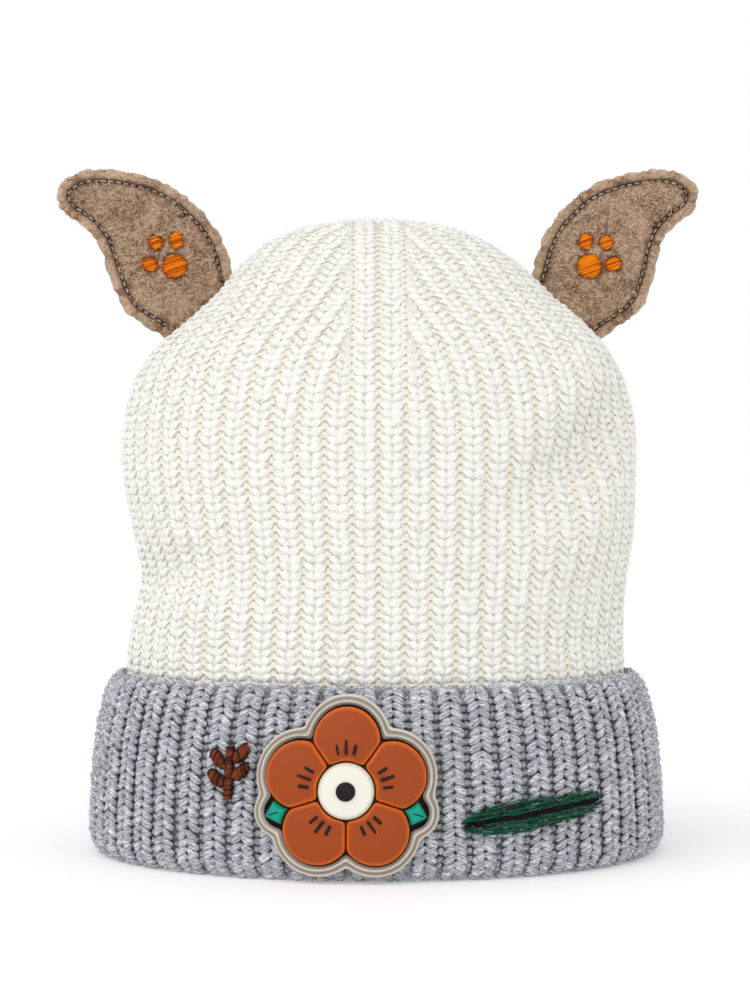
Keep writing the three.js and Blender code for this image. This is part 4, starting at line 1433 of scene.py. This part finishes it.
def buildTray():
    # the rim takes its darker middle colour as painted shade on the tray floor and in the groove between
    # its two ridges, and is lighter towards its inner and outer edges
    floor = flowerOutline(rimInside)
    inner = shrink(floor, badgeMiddle, 9.0)
    rings = [(inner, badge["foot"], 9)]
    for out, height in badge["rim"][::-1]:
        inset = min(out - rimInside, rimOutside - out) * 1.2
        rings.append((flowerOutline(out), badge["foot"] + height, inset))
    rings.append((inner, badge["foot"] + badge["rim"][0][1], 9))
    moulded("badge_rim", rings, badgeMiddle, rimRubber, "badge_tray", "rim_rubber")
    outline = flowerOutline(badge["fieldReach"])
    inner = shrink(outline, badgeMiddle, 9.0)
    foot, top = badge["fieldFoot"], badge["fieldFoot"] + badge["fieldThick"]
    rings = [(inner, foot, 9), (outline, foot, 0), (outline, top, 0), (inner, top, 9)]
    moulded("badge_plate", rings, badgeMiddle, darkRubber, "badge_field", "dark_rubber")


def petalOutline(way):
    # a disc cut short at its neighbours and at the flower's middle
    half, distance = petalStep / 2, badge["petalDistance"]
    reach = np.full(len(way), badge["petalRadius"] - 0.1)
    for side in (-1, 1):
        towards = np.cos(way - side * (quarterTurn + half))
        cut = (distance * math.sin(half) - badge["petalGap"]) / np.maximum(towards, 1e-6)
        reach = np.where(towards > 0, np.minimum(reach, cut), reach)
    clear = badge["centreRadius"] + 0.45
    aside = distance * np.sin(way)
    near = -distance * np.cos(way) - np.sqrt(np.maximum(0, clear**2 - aside**2))
    reach = np.where((np.cos(way) < 0) & (np.abs(aside) < clear), np.minimum(reach, near), reach)
    reach = softened(reach, 2)
    return np.stack([distance + reach * np.cos(way), reach * np.sin(way)], -1)


def leafOutline(end):
    # a leaf fills the notch between two petals and comes to a point outside them
    half, clear = petalStep / 2, badge["petalRadius"] + badge["line"] * 0.55
    ahead, aside = badge["petalDistance"] * math.cos(half), badge["petalDistance"] * math.sin(half)
    start = ahead + math.sqrt(clear**2 - aside**2)
    x = start + (end - start) * np.linspace(0, 1, 33)
    notch = aside - np.sqrt(np.maximum(0, clear**2 - (x - ahead) ** 2))
    tip = (badge["leafRadius"] - 0.9) * np.clip((end - x) / (end - start) * 1.9, 0, 1) ** 0.8
    side = np.stack([x, np.maximum(0, np.minimum(notch, tip))], -1)
    return np.concatenate([side[:-1] * (1, -1), side[:0:-1]]), start


def buildBadge():
    buildTray()
    foot = badge["colourFoot"]
    way = fullTurn * np.arange(96) / 96
    petal = petalOutline(way)
    lines = []
    for number, angle in enumerate(petalAngles):
        outline, middle = spokeways(petal, angle), spokeways((badge["petalDistance"], 0), angle)
        node = f"badge_petal_{number + 1}"
        buildPad(f"{node}_puff", outline, middle, foot, badge["petal"], brownRubber, node, "brown_rubber")
        for lean, start, end in badge["veins"]:
            aside = math.tan(lean) * 0.6
            lines.append(spokeways([[start, start * aside], [end, end * aside]], angle))
    top = foot + badge["petal"][0] * 0.97
    buildLines("badge_veins", lines, top, 0.12, badge["veinRadius"])
    circle = np.stack([np.cos(way), np.sin(way)], -1)
    for name, height, finish, slot in (
        ("centre", foot, creamRubber, "cream_rubber"),
        ("bud", foot + badge["centre"][0], darkRubber, "dark_rubber"),
    ):
        outline = badgeMiddle + badge[f"{name}Radius"] * circle
        node = f"badge_{name}"
        buildPad(f"{node}_dome", outline, badgeMiddle, height, badge[name], finish, node, slot)
    end = badge["leafTip"] - 0.3
    leaf, start = leafOutline(end)
    lines = []
    for number, angle in enumerate(leafAngles):
        outline, middle = spokeways(leaf, angle), spokeways((start + (end - start) * 0.6, 0), angle)
        node = f"badge_leaf_{number + 1}"
        buildPad(f"{node}_puff", outline, middle, foot, badge["leaf"], tealRubber, node, "teal_rubber")
        ray = [[start + (end - start) * share, 0] for share in badge["leafVein"]]
        lines.append(spokeways(ray, angle))
    buildLines("badge_leaf_veins", lines, top - 0.06, 0.1, badge["leafVeinRadius"])
    print("badge built")


buildBadge()


embroidery = {
    "foot": 0.75,
    "rise": 0.75,
    "pitch": 0.42,
    "radius": 0.19,
    "twigGap": 1.6,
    "twigHeight": 14.4,
    "twigLeafLength": 6.0,
    "twigLeafWidth": 3.0,
    "twigStemWidth": 1.8,
    "twigLeaves": ((0.26, -1, 52), (0.4, 1, 50), (0.6, -1, 44), (0.72, 1, 42)),
    # label, way from the rib
    "leafHalves": (("upper", 1), ("lower", -1)),
    "leafGap": 5.4,
    "leafLength": 44.0,
    "leafWidth": 8.4,
    "leafTilt": 6.5,
    "leafHeight": 17.6,
    "leafRib": 1.0,
    "leafSides": (
        (0, 0.2),
        (0.06, 0.58),
        (0.18, 0.9),
        (0.32, 1),
        (0.46, 0.98),
        (0.6, 0.9),
        (0.74, 0.84),
        (0.87, 0.74),
        (0.96, 0.46),
        (1, 0.2),
    ),
}


def sew(node, starts, ends, finish, slot, rise=embroidery["rise"], rings=7):
    made = satin(starts, ends, embroidery["foot"], rise, embroidery["radius"], onCuff, rings)
    addMesh(f"{node}_stitches", *made, finish, [node], slot)


def buildTwig():
    reachSide = badge["leafTip"] + rimOutside + embroidery["twigGap"] + embroidery["twigLeafLength"]
    middle = badgeMiddle + (-reachSide, embroidery["twigHeight"] / 4)
    half = embroidery["twigStemWidth"] / 2 + 0.1
    count = int(embroidery["twigHeight"] / embroidery["pitch"])
    y = middle[1] + ((np.arange(count) + 0.5) / count - 0.5) * embroidery["twigHeight"]
    edge = half + 0.1 * chance.normal(0, 1, (2, count))
    starts = np.stack([middle[0] - edge[0], y - 0.12], -1)
    ends = np.stack([middle[0] + edge[1], y + 0.12], -1)
    sew("twig_stem", starts, ends, brownThread, "brown_thread")
    for number, (height, side, lean) in enumerate(embroidery["twigLeaves"]):
        turn = quarterTurn - side * lean * degree
        halfLength, halfWidth = embroidery["twigLeafLength"] / 2, embroidery["twigLeafWidth"] / 2
        reach = math.hypot(halfLength * math.cos(turn), halfWidth * math.sin(turn))
        centre = (
            middle[0] + side * (embroidery["twigStemWidth"] / 2 + 0.3 + reach),
            middle[1] + (height - 0.5) * embroidery["twigHeight"] + halfLength * math.sin(turn),
        )
        way = turn + side * 65 * degree
        starts, ends = ovalStitches(centre, halfLength, halfWidth, turn, embroidery["pitch"], way)
        sew(f"twig_leaf_{number + 1}", starts, ends, brownThread, "brown_thread")


def buildLongLeaf():
    reachSide = badge["leafTip"] + rimOutside + embroidery["leafGap"]
    start = np.array([badgeMiddle[0] + reachSide, embroidery["leafHeight"]])
    tilt = embroidery["leafTilt"] * degree
    middle = embroidery["leafLength"] / 2
    sides = np.array(embroidery["leafSides"])

    def at(along, aside):
        x = start[0] + middle + (along - middle) * math.cos(tilt) - aside * math.sin(tilt)
        return np.stack([x, start[1] + (along - middle) * math.sin(tilt) + aside * math.cos(tilt)], -1)

    inner = embroidery["leafRib"] / 2 + 0.1
    for name, way in embroidery["leafHalves"]:
        starts, ends = [], []
        lanes = int(embroidery["leafWidth"] / 2 / embroidery["pitch"]) + 1
        for lane in range(lanes):
            aside = inner + (lane + 0.3) * embroidery["pitch"]
            fine = np.linspace(0, 1, 400)
            edge = np.interp(fine, sides[:, 0], sides[:, 1]) * embroidery["leafWidth"] / 2
            inside = fine[edge > aside] * embroidery["leafLength"]
            if len(inside) < 2:
                continue
            place = inside[0] - 0.4 - 4 * chance.random()
            while place < inside[-1]:
                long = 5 + 3 * chance.random()
                low, high = max(place, inside[0] - 0.3), min(place + long, inside[-1] + 0.3)
                if high - low > 1.2:
                    drift = 0.1 * chance.normal(0, 1, 2)
                    starts.append(at(low, way * (aside - 0.18 + drift[0])))
                    ends.append(at(high, way * (aside + 0.18 + drift[1])))
                place += long * 0.86
        starts, ends = np.array(starts), np.array(ends)
        sew(f"long_leaf_{name}", starts, ends, greenThread, "green_thread", 0.45, 9)
    count = int(embroidery["leafLength"] * 0.94 / embroidery["pitch"])
    along = (0.02 + 0.94 * (np.arange(count) + 0.5) / count) * embroidery["leafLength"]
    taper = np.sin(math.pi * (np.arange(count) + 0.5) / count) ** 0.4
    half = (embroidery["leafRib"] / 2 + 0.15) * taper + 0.08 * chance.normal(0, 1, (2, count))
    starts, ends = at(along - 0.25, -half[0]), at(along + 0.25, half[1])
    sew("long_leaf_rib", starts, ends, darkThread, "dark_thread", 0.9, 5)
    print("embroidery built")


buildTwig()
buildLongLeaf()


# A plain pale floor and soft studio light
studio = {
    "floorHalf": 12.0,
    "floorGlow": 0.22,
    "worldStrength": 0.76,
    "lights": (
        # from where, softness in degrees, strength
        ((-0.8, -0.85, 1.1), 70, 1.05),
        ((0.8, -1.2, 0.4), 80, 0.5),
    ),
}


def buildStudio():
    half = studio["floorHalf"]
    mesh = bpy.data.meshes.new("floor")
    corners = [(-half, -half, 0), (half, -half, 0), (half, half, 0), (-half, half, 0)]
    mesh.from_pydata(corners, [], [(0, 1, 2, 3)])
    floor = bpy.data.objects.new("floor", mesh)
    bpy.context.scene.collection.objects.link(floor)
    paper = Finish("white paper")
    grain = paper.noise(paper.place(), 900, 2.0)
    colour = paper.mix(grain, grey(0.78), grey(0.82))
    glow = {"Emission Color": grey(1), "Emission Strength": studio["floorGlow"]}
    mesh.materials.append(paper.surface(colour, 0.9, paper.bump(grain, 0.05, 0.0001), **glow))
    # the backdrop is seen as white paper, and gives a softer light than that
    world = bpy.data.worlds.new("studio")
    world.use_nodes = True
    nodes, links = world.node_tree.nodes, world.node_tree.links
    background = nodes["Background"]
    background.inputs["Color"].default_value = grey(1)
    seen = nodes.new("ShaderNodeLightPath")
    strength = nodes.new("ShaderNodeMapRange")
    strength.inputs["To Min"].default_value = studio["worldStrength"]
    strength.inputs["To Max"].default_value = 1.0
    links.new(seen.outputs["Is Camera Ray"], strength.inputs["Value"])
    links.new(strength.outputs["Result"], background.inputs["Strength"])
    bpy.context.scene.world = world
    for number, (place, softness, power) in enumerate(studio["lights"]):
        lightData = bpy.data.lights.new(f"softbox_{number + 1}", "SUN")
        lightData.angle = softness * degree
        lightData.energy = power
        light = bpy.data.objects.new(f"softbox_{number + 1}", lightData)
        light.location = place
        light.rotation_euler = (-light.location).to_track_quat("-Z", "Y").to_euler()
        bpy.context.scene.collection.objects.link(light)


buildStudio()
bpy.context.scene.view_settings.view_transform = "Standard"
bpy.context.scene.view_settings.look = "None"
print("studio lit")
